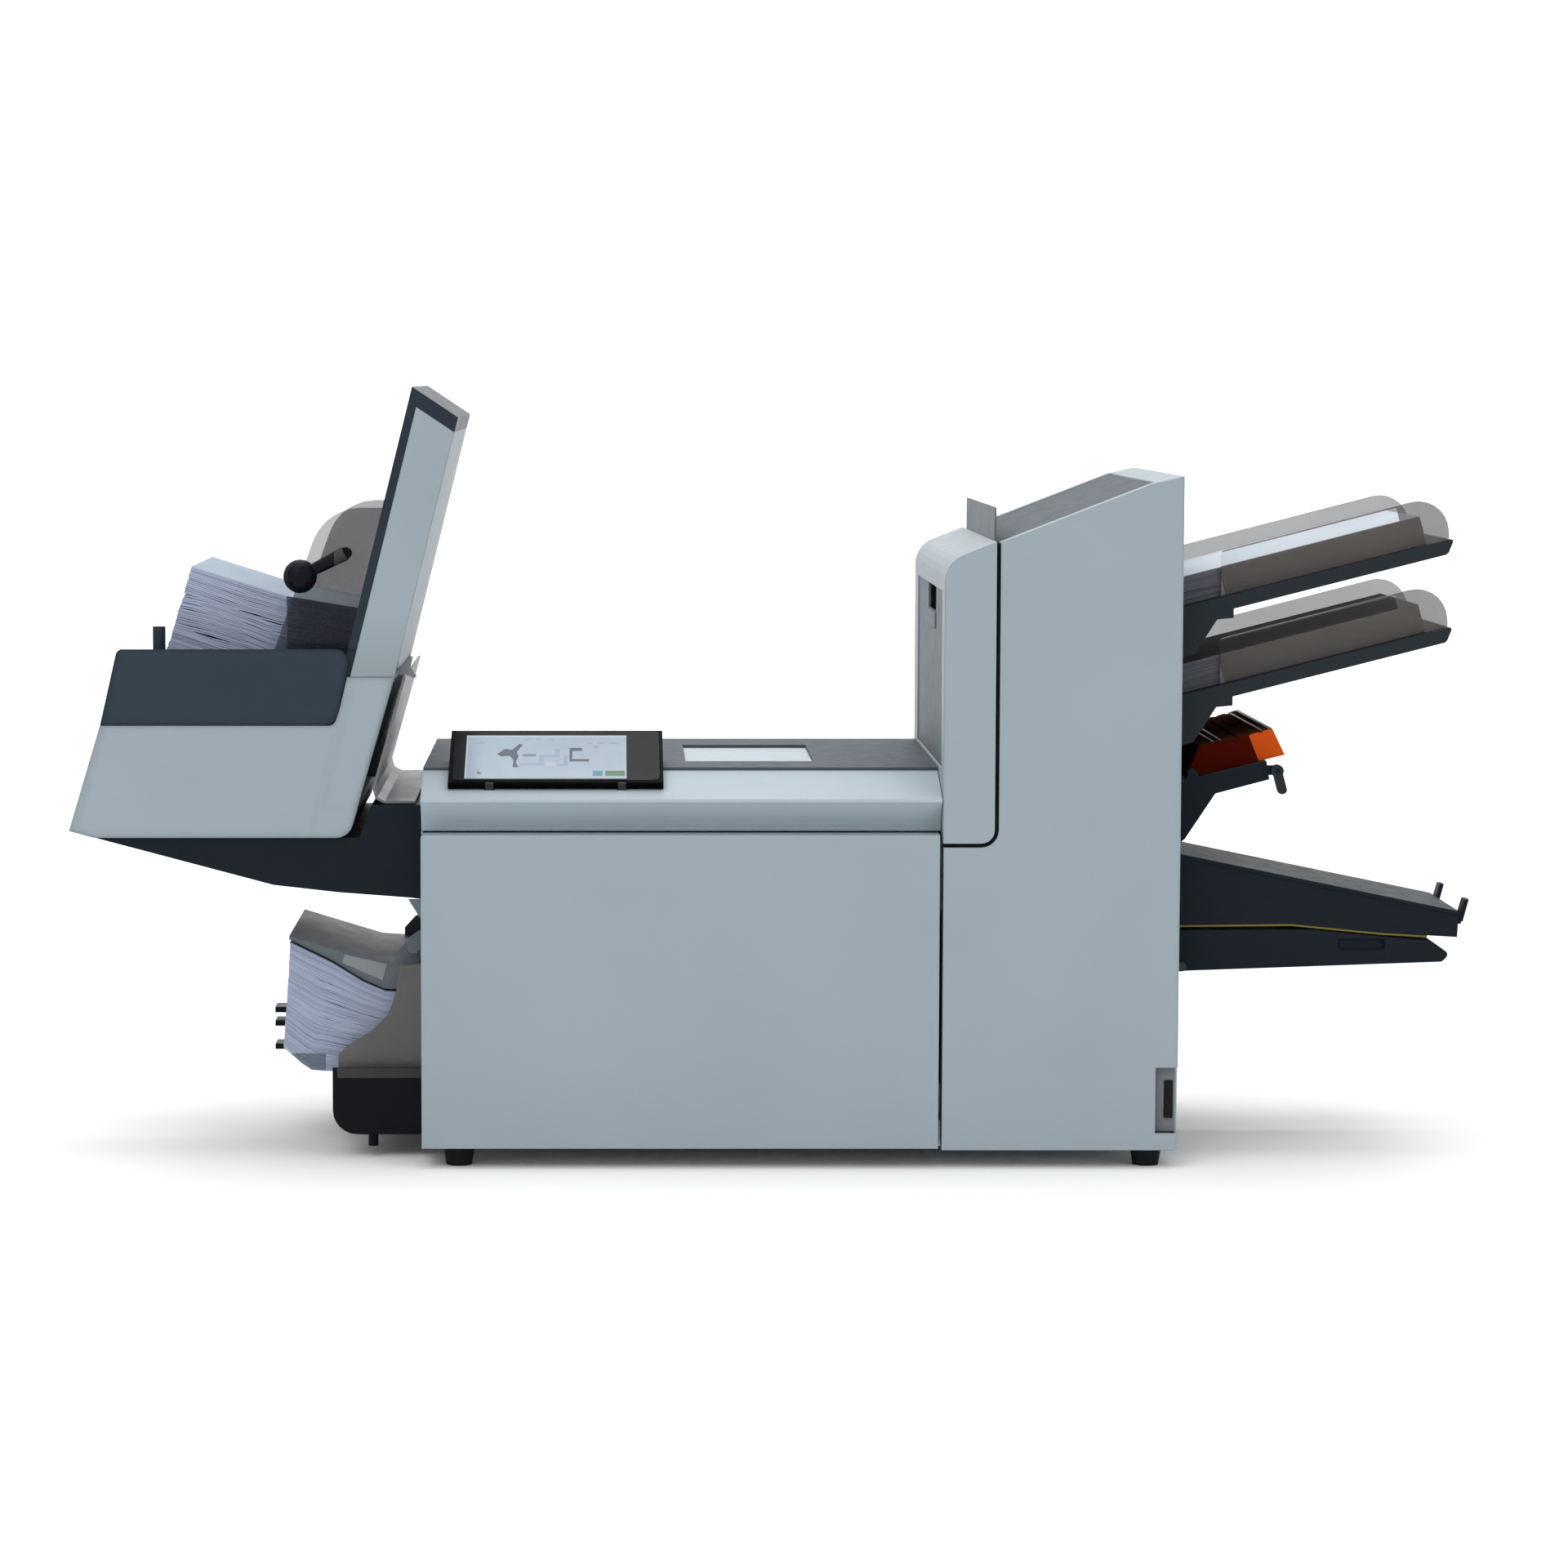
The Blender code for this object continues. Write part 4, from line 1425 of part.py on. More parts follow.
def make_hopper():
    right = -FIT
    top = HOPPER_BED + HOPPER_CHEEK
    corners = [(HOPPER_LEFT, top), (HOPPER_LEFT, HOPPER_FLOOR), (right, HOPPER_FLOOR), (right, top)]
    outline = rounded(corners, {1: HOPPER_CORNER})
    base = keep("hopper_base", prism([outline], HOPPER_FRONT, DEPTH - HOPPER_FRONT), DARK)
    cut(base, block((HOPPER_LEFT - OVERRUN, HOPPER_FRONT + HOPPER_CHEEK_WALL, HOPPER_BED),
                    (right + OVERRUN, DEPTH - HOPPER_FRONT - HOPPER_CHEEK_WALL, top + OVERRUN)))
    cut(base, block((HOPPER_LEFT + HOPPER_CORNER, HOPPER_FRONT + SKIN, HOPPER_FLOOR + SKIN),
                    (right + OVERRUN, DEPTH - HOPPER_FRONT - SKIN, HOPPER_BED - SKIN)))
    for y in (HOPPER_FRONT + OVERRUN, DEPTH - HOPPER_FRONT - OVERRUN):
        join(base, rod((SCREW_X, y, HOPPER_FLOOR + SHEET), (SCREW_X, y, HOPPER_FLOOR - SCREW_DROP), SCREW_RADIUS,
                       sides=14))
    guide = scaled((HGUIDE_LEFT, HOPPER_BED + FIT), HGUIDE_SIZE, HGUIDE_SHARES)
    for name, y in (("hopper_guide_front", STACK_GUIDE_FRONT),
                    ("hopper_guide_rear", DEPTH - STACK_GUIDE_FRONT - GUIDE_THICKNESS)):
        keep(name, prism([guide], y, y + GUIDE_THICKNESS), SMOKE, origin=(HGUIDE_LEFT, y, HOPPER_BED))
    front = MIDDLE - ENVELOPE_WIDTH / 2
    pile = scaled((PILE_LEFT, HOPPER_BED + FIT * 4), PILE_SIZE, PILE_SHARES)
    keep("hopper_envelopes", prism([pile], front, DEPTH - front), ENVELOPE)
    arm_outline = scaled(ARM_CORNER, ARM_SIZE, ARM_SHARES)
    arm = keep("weight_arm", prism([arm_outline], ARM_FRONT, DEPTH - ARM_FRONT), GREY,
               origin=(ARM_AXIS_X, MIDDLE, ARM_AXIS_Z))
    underside = scaled(ARM_CORNER, ARM_SIZE, ARM_HOLLOW_SHARES)
    lowest = underside[3:]
    hollow = opened(underside, SKIN, lambda x, z: (x, z) in lowest, (0, -OVERRUN))
    cut(arm, prism([hollow], ARM_FRONT + SKIN * 2, DEPTH - ARM_FRONT - SKIN * 2))
    join(arm, rod((ARM_AXIS_X, ARM_FRONT - RUNNING_FIT - PIN_REACH, ARM_AXIS_Z),
                  (ARM_AXIS_X, DEPTH - ARM_FRONT + RUNNING_FIT + PIN_REACH, ARM_AXIS_Z),
                  PIN_RADIUS, sides=12))
    path = scaled(TONGUE_CORNER, TONGUE_SIZE, TONGUE_SHARES)
    end = TONGUE_FRONT + TONGUE_WIDTH
    tongue = keep("hopper_tongue", prism([ribbon(path, TONGUE_THICKNESS)], TONGUE_FRONT, end), DARK)
    tip = path[-1][0]
    for share in TOOTH_SHARES:
        low = TONGUE_CORNER[1] + TONGUE_SIZE[1] * share
        start = tip if low > path[-2][1] else tip + TOOTH_ROOT
        join(tongue, block((tip - TOOTH_LENGTH, TONGUE_FRONT, low), (start, end, low + TOOTH_HEIGHT)))


make_feet()
make_base_pan()
make_front_door()
make_frames()
make_gear_train()
make_feed_rollers()
make_left_end_cover()
make_rear_cover()
make_lid()
make_display()
make_tower_covers()
make_power_panel()
make_tower_end_cover()
make_tower_top_plate()
make_column()
make_document_tray("upper", 0)
make_document_tray("lower", TRAY_DROP)
make_insert_feeder()
make_divert_tray()
make_exit_plate()
make_stacker_tub()
make_stacker_wall()
make_stacker_elevator()
make_stacker_guides()
make_chute()
make_hopper()
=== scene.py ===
# Looks of the desktop folder inserter: materials, paper stacks, display, trims, light and camera.
# Metres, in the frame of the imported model. X and Y below count from the cabinet's front left corner.
import json
import math
import random

import bmesh
import bpy
from mathutils import Matrix, Vector


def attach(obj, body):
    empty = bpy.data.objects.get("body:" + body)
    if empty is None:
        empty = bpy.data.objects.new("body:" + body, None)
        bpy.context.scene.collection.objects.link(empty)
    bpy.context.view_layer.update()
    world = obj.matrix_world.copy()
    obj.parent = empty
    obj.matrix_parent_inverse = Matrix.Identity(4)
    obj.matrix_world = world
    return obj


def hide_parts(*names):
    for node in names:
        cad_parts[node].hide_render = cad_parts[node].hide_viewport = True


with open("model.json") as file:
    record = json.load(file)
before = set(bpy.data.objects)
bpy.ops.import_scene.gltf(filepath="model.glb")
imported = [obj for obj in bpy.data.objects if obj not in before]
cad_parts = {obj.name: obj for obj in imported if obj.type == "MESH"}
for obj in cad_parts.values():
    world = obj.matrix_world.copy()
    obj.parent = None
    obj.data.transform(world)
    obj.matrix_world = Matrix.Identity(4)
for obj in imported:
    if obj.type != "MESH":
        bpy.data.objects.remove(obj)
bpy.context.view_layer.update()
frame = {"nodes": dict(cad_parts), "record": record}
nodes = frame["nodes"]

CORNER = Vector((-0.340, -0.210, 0))
FIT = 0.0003


# Materials
def graph(name):
    finish = bpy.data.materials.new(name)
    finish.use_nodes = True
    tree = finish.node_tree
    return finish, tree, tree.nodes["Principled BSDF"]


def link(tree, source, target):
    tree.links.new(source, target)


def noise(tree, place, scale, detail=2.0, stretch=(1, 1, 1)):
    mapping = tree.nodes.new("ShaderNodeMapping")
    mapping.inputs["Scale"].default_value = stretch
    link(tree, place, mapping.inputs["Vector"])
    texture = tree.nodes.new("ShaderNodeTexNoise")
    texture.inputs["Scale"].default_value = scale
    texture.inputs["Detail"].default_value = detail
    link(tree, mapping.outputs["Vector"], texture.inputs["Vector"])
    return texture.outputs["Fac"]


def spread(tree, value, low, high, start=0.3, end=0.7):
    ramp = tree.nodes.new("ShaderNodeMapRange")
    ramp.inputs["From Min"].default_value = start
    ramp.inputs["From Max"].default_value = end
    ramp.inputs["To Min"].default_value = low
    ramp.inputs["To Max"].default_value = high
    link(tree, value, ramp.inputs["Value"])
    return ramp.outputs["Result"]


def give(tree, value, target):
    """Set a socket to a number or a colour, or link it to an output."""
    if isinstance(value, tuple):
        target.default_value = (*value, 1)[:len(target.default_value)]
    elif isinstance(value, (int, float)):
        target.default_value = value
    else:
        link(tree, value, target)


def maths(tree, operation, first, second):
    node = tree.nodes.new("ShaderNodeMath")
    node.operation = operation
    give(tree, first, node.inputs[0])
    give(tree, second, node.inputs[1])
    return node.outputs[0]


def mixed(tree, factor, base, other):
    """The base colour where the factor is zero, and the other where it is one."""
    mix = tree.nodes.new("ShaderNodeMix")
    mix.data_type = "RGBA"
    link(tree, factor, mix.inputs["Factor"])
    give(tree, base, mix.inputs["A"])
    give(tree, other, mix.inputs["B"])
    return mix.outputs["Result"]


def height_of(tree, vector):
    parts = tree.nodes.new("ShaderNodeSeparateXYZ")
    link(tree, vector, parts.inputs[0])
    return parts.outputs["Z"]


def shade(tree, base, factor):
    """The base colour with its brightness multiplied by a factor output."""
    scaled = tree.nodes.new("ShaderNodeVectorMath")
    scaled.operation = "SCALE"
    give(tree, base, scaled.inputs[0])
    link(tree, factor, scaled.inputs["Scale"])
    return scaled.outputs["Vector"]


def bumped(tree, shader, height, strength, distance, normal=None):
    bump = tree.nodes.new("ShaderNodeBump")
    bump.inputs["Strength"].default_value = strength
    bump.inputs["Distance"].default_value = distance
    link(tree, height, bump.inputs["Height"])
    if normal:
        link(tree, normal, bump.inputs["Normal"])
    link(tree, bump.outputs["Normal"], shader.inputs["Normal"])


def edge_mask(tree, radius):
    """One where the surface turns within the radius, and the softened normal."""
    bevel = tree.nodes.new("ShaderNodeBevel")
    bevel.samples = 4
    bevel.inputs["Radius"].default_value = radius
    geometry = tree.nodes.new("ShaderNodeNewGeometry")
    dot = tree.nodes.new("ShaderNodeVectorMath")
    dot.operation = "DOT_PRODUCT"
    link(tree, bevel.outputs["Normal"], dot.inputs[0])
    link(tree, geometry.outputs["Normal"], dot.inputs[1])
    return spread(tree, dot.outputs["Value"], 1.0, 0.0, 0.80, 0.995), bevel.outputs["Normal"]


def within(tree, place, low, high):
    """One where a place lies between two corners, as a product of one comparison for each given side."""
    parts = tree.nodes.new("ShaderNodeSeparateXYZ")
    link(tree, place, parts.inputs[0])
    product = None
    for axis in range(3):
        for edge, operation in ((low[axis], "GREATER_THAN"), (high[axis], "LESS_THAN")):
            if edge is not None:
                test = maths(tree, operation, parts.outputs[axis], edge)
                product = maths(tree, "MULTIPLY", product, test) if product else test
    return product


def turned(tree, place, centre, angle):
    """A place measured from a point, in a frame turned about Y."""
    level = tree.nodes.new("ShaderNodeVectorRotate")
    level.rotation_type = "Y_AXIS"
    level.inputs["Center"].default_value = centre
    level.inputs["Angle"].default_value = angle
    link(tree, place, level.inputs["Vector"])
    start = tree.nodes.new("ShaderNodeVectorMath")
    start.operation = "SUBTRACT"
    link(tree, level.outputs["Vector"], start.inputs[0])
    start.inputs[1].default_value = centre
    return start.outputs["Vector"]


def patched(tree, place, base, patches):
    """The base colour, with other colours in boxes given by two corners in the frame of the model.

    A box may lie in a frame that is turned about Y at a point, and then starts from that point.
    """
    for low, high, colour, *turn in patches:
        turned_place = turned(tree, place, *turn) if turn else place
        base = mixed(tree, within(tree, turned_place, low, high), base, colour)
    return base


UPWARD = (0.6, 0.85)            # of a normal's height, where a face starts to count as a top and where it does
PAPER_UPWARD = (0.5, 0.9)
GRAIN_DEPTH = 0.0002
STEEL_DEPTH = 0.0001
STEEL_EDGE = 0.0006


def moulded(name, colour, roughness, grain=0.12, grain_scale=1400, mottle=0.03, edge=0.10, radius=0.0012,
            specular=0.5, patches=(), top=None, fall=None):
    """Moulded plastic or painted sheet: fine grain, slight mottling, uneven gloss and lighter worn edges.

    Upward faces may have another colour, painted light on some parts and painted shade on others, and the colour
    may fall off towards a lower height.
    """
    finish, tree, shader = graph(name)
    place = tree.nodes.new("ShaderNodeTexCoord").outputs["Object"]
    colour = patched(tree, place, colour, patches)
    if top:
        upward = height_of(tree, tree.nodes.new("ShaderNodeNewGeometry").outputs["Normal"])
        colour = mixed(tree, spread(tree, upward, 0, 1, *UPWARD), colour, top)
    if fall:
        low, high, share = fall
        colour = shade(tree, colour, spread(tree, height_of(tree, place), share, 1.0, low, high))
    broad = noise(tree, place, 7, 3)
    fine = noise(tree, place, grain_scale, 1)
    patch = noise(tree, place, 55, 4)
    edges, normal = edge_mask(tree, radius)
    level = spread(tree, broad, 1 - mottle, 1 + mottle)
    speck = spread(tree, fine, 1 - mottle * 0.8, 1 + mottle * 0.8)
    tone = maths(tree, "MULTIPLY", level, speck)
    worn = maths(tree, "MULTIPLY", edges, spread(tree, patch, edge * 0.4, edge * 1.6))
    link(tree, shade(tree, colour, maths(tree, "ADD", tone, worn)), shader.inputs["Base Color"])
    link(tree, spread(tree, patch, roughness - 0.05, roughness + 0.06), shader.inputs["Roughness"])
    bumped(tree, shader, fine, grain, GRAIN_DEPTH, normal)
    shader.inputs["Specular IOR Level"].default_value = specular
    return finish


def smoked(name, colour, alpha, roughness=0.1, patches=(), turn=()):
    """Tinted clear plastic with slightly uneven tint and gloss, clearer or denser in given boxes."""
    finish, tree, shader = graph(name)
    place = tree.nodes.new("ShaderNodeTexCoord").outputs["Object"]
    broad = noise(tree, place, 9, 2)
    if turn:
        place = turned(tree, place, *turn)
    colour = patched(tree, place, colour, [(low, high, tint) for low, high, tint, _ in patches])
    link(tree, shade(tree, colour, spread(tree, broad, 0.92, 1.08)), shader.inputs["Base Color"])
    link(tree, spread(tree, broad, roughness, roughness + 0.06), shader.inputs["Roughness"])
    density = patched(tree, place, (alpha, alpha, alpha),
                      [(low, high, (level, level, level)) for low, high, _, level in patches])
    link(tree, shade(tree, density, spread(tree, broad, 0.98, 1.02)), shader.inputs["Alpha"])
    shader.inputs["Specular IOR Level"].default_value = 0.3
    return finish


def paper(name, colour, top, tint=0.06, patches=()):
    """Paper edges: each sheet a slightly different tone, with fibres across and flat faces in another colour.
    Where these edges are darker than the flat faces, that is painted shade.
    """
    finish, tree, shader = graph(name)
    place = tree.nodes.new("ShaderNodeTexCoord").outputs["Object"]
    geometry = tree.nodes.new("ShaderNodeNewGeometry")
    fibre = noise(tree, place, 420, 3)
    patch = noise(tree, place, 30, 3)
    rare = maths(tree, "POWER", geometry.outputs["Random Per Island"], 2.5)
    sheet_tone = spread(tree, rare, 1 + tint, 1 - tint * 3, 0, 1)
    tone = maths(tree, "MULTIPLY", sheet_tone, spread(tree, patch, 0.97, 1.03))
    upward = spread(tree, height_of(tree, geometry.outputs["Normal"]), 0, 1, *PAPER_UPWARD)
    colour = mixed(tree, upward, patched(tree, place, colour, patches), top)
    link(tree, shade(tree, colour, tone), shader.inputs["Base Color"])
    shader.inputs["Roughness"].default_value = 0.85
    shader.inputs["Specular IOR Level"].default_value = 0.25
    bumped(tree, shader, fibre, 0.2, GRAIN_DEPTH)
    return finish


def brushed(name, colour, roughness):
    """Zinc-plated sheet steel: fine drawn lines, and patches of lighter and darker zinc."""
    finish, tree, shader = graph(name)
    place = tree.nodes.new("ShaderNodeTexCoord").outputs["Object"]
    lines = noise(tree, place, 60, 3, (1, 40, 40))
    spangle = noise(tree, place, 90, 4)
    link(tree, shade(tree, colour, spread(tree, spangle, 0.86, 1.1)), shader.inputs["Base Color"])
    link(tree, spread(tree, lines, roughness - 0.08, roughness + 0.1), shader.inputs["Roughness"])
    bumped(tree, shader, lines, 0.12, STEEL_DEPTH, edge_mask(tree, STEEL_EDGE)[1])
    shader.inputs["Metallic"].default_value = 1.0
    return finish


def linear(code):
    """A colour picked on screen, as six hexadecimal digits, in scene values."""
    levels = [int(code[i:i + 2], 16) / 255 for i in (0, 2, 4)]
    return tuple(v / 12.92 if v <= 0.04045 else ((v + 0.055) / 1.055) ** 2.4 for v in levels)


def at(x, y, z):
    """A corner of a patch in the frame of the model, where None leaves that side open."""
    return tuple(None if value is None else value + start for value, start in zip((x, y, z), CORNER))


OPEN = at(None, None, None)
COVER = linear("8D99A0")
# The ears for the weight arm on the left end, painted a darker slate as painted shade, and those for the exit
# plate on the right end
LIGHT = moulded("light_cover", COVER, 0.50, specular=0.4,
                patches=[(OPEN, at(-FIT, None, 0.262), linear("5D6B74")),
                         (at(0.731 + FIT, None, None), at(None, None, 0.205), linear("181F24"))])
TUB = moulded("tub_cover", COVER, 0.50, specular=0.4, radius=0.010, edge=0.03)
# Lower edge, upper edge and the share that is left at the lower edge, of the darkening towards the wall's foot and
# of the painted shade in the lid's grip
WALL = moulded("wall_cover", linear("8B979E"), 0.50, specular=0.4, radius=0.003, edge=0.05,
               fall=(0.474, 0.530, 0.84))
EAR_STARTS, EAR_LENGTH, EAR_MARGIN = (0.062, 0.190), 0.008, 0.0006
# The lid's strip darkens towards the lower edge of its concave grip as painted shade
STRIP = moulded("light_strip", linear("A0ADB5"), 0.46, specular=0.4, fall=(0.3266, 0.350, 0.76),
                patches=[(at(start - EAR_MARGIN, 0.0190, 0.3660),
                          at(start + EAR_LENGTH + EAR_MARGIN, 0.0290, None), linear("050607"))
                         for start in EAR_STARTS])
GREY = moulded("grey_cover", linear("5F6970"), 0.55, mottle=0.05, specular=0.2)
PLATE = moulded("grey_plate", linear("4C545B"), 0.60, mottle=0.05, specular=0.1)
# The weight arm's upward faces are painted lighter, a painted light where the stacker above shades them
SLATE = moulded("slate_plastic", linear("596169"), 0.50, mottle=0.05, specular=0.45, top=linear("7A8690"))
NAVY = moulded("navy_plastic", linear("26323D"), 0.48, mottle=0.05, specular=0.2, radius=0.010, edge=0.03)
LINER = moulded("navy_liner", linear("1D2731"), 0.45, mottle=0.05, specular=0.2)
DARK = moulded("dark_plastic", linear("181F24"), 0.50, mottle=0.06, specular=0.2)
# The feeder parts' upward faces are painted lighter as painted light
FEED = moulded("feeder_plastic", linear("171E24"), 0.50, mottle=0.06, specular=0.05, top=linear("343C40"))
# The stacker's support: navy plastic darkened as painted shade under the tub
SHADE = moulded("navy_plastic_shaded", linear("0F1720"), 0.5, mottle=0.06, specular=0.12)
# Where the side guide overlaps the hopper's cheek
INK = moulded("ink_plastic", linear("070B12"), 0.42, mottle=0.06, specular=0.10,
              patches=[(at(-0.0846, None, 0.0795), at(-0.0004, 0.0605, None), linear("3A3A39"))])
STEEL = brushed("zinc_steel", linear("B9BDBF"), 0.38)
ACETAL = moulded("gear_acetal", linear("D9D5C8"), 0.35, grain=0.04, edge=0.03)
RUBBER = moulded("black_rubber", linear("0E0F11"), 0.75, grain=0.3, grain_scale=900, specular=0.2)
ROLLER = moulded("roller_rubber", linear("2E3033"), 0.70, grain=0.3, grain_scale=1100)
SMOKE = smoked("smoked_plastic", linear("535458"), 0.50)
SMOKE_FRONT = smoked("smoked_front", linear("2A2D38"), 0.44)
SMOKE_DARK = smoked("smoked_dark", linear("615F5E"), 0.93, 0.25)
TRAY_SLOPE = math.radians(14.3)
TRAY_FOOT = Vector((0.7783, 0, 0.5487))
TRAYS = (("upper", 0, 5), ("lower", 0.0858, 6))   # each tray's name, drop and seed
# The clear strip above the sheets, and the denser left edge of a tray's front guide, painted lighter as a painted
# highlight where light catches it
TRAY_GUIDE = {
    prefix: smoked(prefix + "_guide_front", linear("5C5855"), 0.60,
                   turn=(TRAY_FOOT - Vector((0, 0, drop)) + CORNER, TRAY_SLOPE),
                   patches=[((None, None, 0.0285), (0.188, None, 0.0418), linear("3A3A3C"), 0.10),
                            ((None, None, None), (0.0062, None, None), linear("7C7672"), 0.70)])
    for prefix, drop, _ in TRAYS}
HOOD_FRONT = Vector((0.813, 0, 0.400)) + CORNER
# The orange parts' upward faces are painted dark brown as painted shade, the hood's top lying just under the lower
# tray
ORANGE = moulded("orange_plastic", linear("B84A16"), 0.40, mottle=0.05, specular=0.0, top=linear("4A2F20"),
                 patches=[((None, None, None), (0, None, None), linear("3E0D05"),
                           HOOD_FRONT, math.radians(21.8))])
CHUTE = moulded("chute_plastic", linear("6A6D71"), 0.42, specular=0.3)
BLACK = moulded("display_black", linear("020303"), 0.45, grain=0.02, edge=0.02, specular=0.02)
GLASS = moulded("screen_glass", linear("040506"), 0.22, grain=0.0, mottle=0.01, edge=0.0, specular=0.05)
# The sheets' edges are painted dark as painted shade, below light tops
SHEETS = paper("paper_sheets", linear("5C5C66"), linear("C3CBD3"))
# The lower tray's sheets, with edges and tops painted dark as painted shade under the upper tray
SHEETS_SHADED = paper("paper_sheets_shaded", linear("5C5C66"), linear("5A5250"))
# Painted shade on the part behind the stacker's front guide and on the lower left of the hopper's stack
ENVELOPES = paper("paper_envelopes", linear("9CA4BC"), linear("98A5B1"),
                  patches=[(at(-0.1335, None, 0.40), at(None, 0.12, None), linear("4B5368")),
                           (OPEN, at(-0.098, None, 0.0985), linear("6A7583"))])
LABEL = moulded("pale_label", linear("868E90"), 0.6, edge=0.04, specular=0.2)
OLIVE = moulded("olive_strip", linear("6A6124"), 0.6, edge=0.04, specular=0.2)

FINISHES = {
    "light_cover": LIGHT, "light_strip": STRIP, "grey_cover": GREY, "navy_plastic": NAVY, "dark_plastic": DARK,
    "zinc_steel": STEEL, "gear_acetal": ACETAL, "black_rubber": RUBBER, "roller_rubber": ROLLER,
    "smoked_plastic": SMOKE, "paper_sheets": SHEETS, "paper_envelopes": ENVELOPES, "orange_plastic": ORANGE,
    "chute_plastic": CHUTE, "screen_glass": GLASS, "display_black": BLACK}
slot_of = {entry["node"]: entry["material_slot"] for entry in frame["record"]["subparts"]}
for name, node in nodes.items():
    node.data.materials.clear()
    node.data.materials.append(FINISHES[slot_of[name]])
OWN = {"hopper_guide_front": SMOKE_DARK, "hopper_guide_rear": SMOKE_DARK, "hopper_base": INK,
       "guide_lock_lever": INK, "hopper_tongue": INK, "stacker_guide_front": SMOKE_FRONT,
       "stacker_support": SHADE, "stacker_body": TUB, "stacker_wall": WALL, "stacker_liner": LINER,
       "tower_top_plate": PLATE, "deck_plate": PLATE, "insert_base": FEED, "divert_tray": FEED,
       "divert_stop": FEED, "exit_plate": FEED, "upper_guide_front": TRAY_GUIDE["upper"],
       "lower_guide_front": TRAY_GUIDE["lower"]}
for name, finish in OWN.items():
    nodes[name].data.materials[0] = finish


# Pieces added to the model
def piece(name, body, finish, rides):
    """One piece with its finish, which moves with a body of the model."""
    mesh = bpy.data.meshes.new(name)
    bmesh.ops.recalc_face_normals(body, faces=body.faces)
    body.to_mesh(mesh)
    body.free()
    mesh.materials.append(finish)
    thing = bpy.data.objects.new(name, mesh)
    bpy.context.scene.collection.objects.link(thing)
    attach(thing, rides)
    return thing


def along(path, share):
    """The point at a share of a path whose points are evenly spread over its length in order."""
    step = share * (len(path) - 1)
    index = min(int(step), len(path) - 2)
    return path[index].lerp(path[index + 1], step - index)


def evenly(points, count):
    """The same path with its points moved to even steps of its length."""
    points = [Vector(point) for point in points]
    lengths = [0.0]
    for a, b in zip(points, points[1:]):
        lengths.append(lengths[-1] + (b - a).length)
    path = []
    for step in range(count):
        goal = lengths[-1] * step / (count - 1)
        index = max(i for i in range(len(points) - 1) if lengths[i] <= goal + 1e-9)
        span = lengths[index + 1] - lengths[index]
        path.append(points[index].lerp(points[index + 1], min(1.0, (goal - lengths[index]) / span)))
    return path


SHEET_STEPS = 15
SHEET_INSET = 0.0012            # the most that a sheet's end lies inside the stack


def pile(name, lower, upper, front, rear, count, fill, rides, finish, seed, wave, ragged, replaced):
    """A pile of separate sheets between two paths, each a little out of line with the next.

    The fill is each sheet's share of its layer. The wave lifts the middle layers, and the ragged length
    is the most that a sheet's left end lies inside the stack.
    """
    chance = random.Random(seed)
    lower, upper = evenly(lower, SHEET_STEPS), evenly(upper, SHEET_STEPS)
    length = sum((b - a).length for a, b in zip(lower, lower[1:]))
    body = bmesh.new()
    phase, drift = 0.0, 0.5
    for index in range(count):
        phase += chance.uniform(-0.5, 0.5)
        drift = min(1.0, max(0.0, drift + chance.uniform(-0.22, 0.22)))
        if chance.random() < 0.1:
            phase += chance.uniform(1.0, 2.0)
        start = ragged * (drift * 0.6 + chance.uniform(0, 0.4)) / length
        end = 1 - ragged * chance.uniform(0, 0.6) / length
        near, far = front + chance.uniform(0, SHEET_INSET), rear - chance.uniform(0, SHEET_INSET)
        level = index / count
        lift = wave * 4 * level * (1 - level)
        rings = []
        for step in range(SHEET_STEPS):
            share = start + (end - start) * step / (SHEET_STEPS - 1)
            a, b = along(lower, share), along(upper, share)
            shift = lift * (math.sin(phase + share * 9.0) + 0.5 * math.sin(phase * 2 + share * 23))
            low = a.lerp(b, level) + Vector((0, shift))
            high = a.lerp(b, (index + fill) / count) + Vector((0, shift))
            if index == count - 1:
                high = a.lerp(b, 1.0)
            rings.append([body.verts.new((x + CORNER.x, y + CORNER.y, z))
                          for (x, z), y in ((low, near), (high, near), (high, far), (low, far))])
        for ring, after in zip(rings, rings[1:]):
            for i in range(4):
                body.faces.new((ring[i], ring[(i + 1) % 4], after[(i + 1) % 4], after[i]))
        body.faces.new(rings[0])
        body.faces.new(tuple(reversed(rings[-1])))
    thing = piece(name, body, finish, rides)
    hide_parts(replaced)
    return thing


LEAN = math.radians(14)
FLOOR_LEAN = math.radians(17.5)
FLOOR_FOOT = Vector((-0.0861, 0.440))
ENVELOPE_FRONT, ENVELOPE_REAR = 0.0955, 0.3245
STACK_REACH, STACK_BEND = 0.176, 0.079
STACK_HEIGHT, STACK_WALL_HEIGHT = 0.0902, 0.1005
WALL_GAP = 0.0001
HOPPER_CORNER, HOPPER_SIZE = Vector((-0.1404, 0.0802)), Vector((0.1604, 0.1286))
HOPPER_LOWER = [(0.0, 0.191), (0.072, 0.114), (0.158, 0.015), (0.327, 0.0), (1.0, 0.0)]
HOPPER_UPPER = [(0.046, 1.0), (0.306, 0.841), (0.501, 0.691), (0.632, 0.621), (1.0, 0.589)]
PAPER_LENGTH, PAPER_PILE = 0.2794, 0.0275
PAPER_FRONT, PAPER_REAR = 0.10205, 0.31795
TOWER_END, PAPER_ENTRY = 0.731, 0.021


def on_floor(out, up):
    """A point up from the stacker floor and out along it."""
    if not out:
        return FLOOR_FOOT + Vector((math.sin(LEAN), math.cos(LEAN))) * up / math.cos(FLOOR_LEAN - LEAN)
    return FLOOR_FOOT + Vector((-out * math.cos(FLOOR_LEAN) + up * math.sin(FLOOR_LEAN),
                                out * math.sin(FLOOR_LEAN) + up * math.cos(FLOOR_LEAN)))


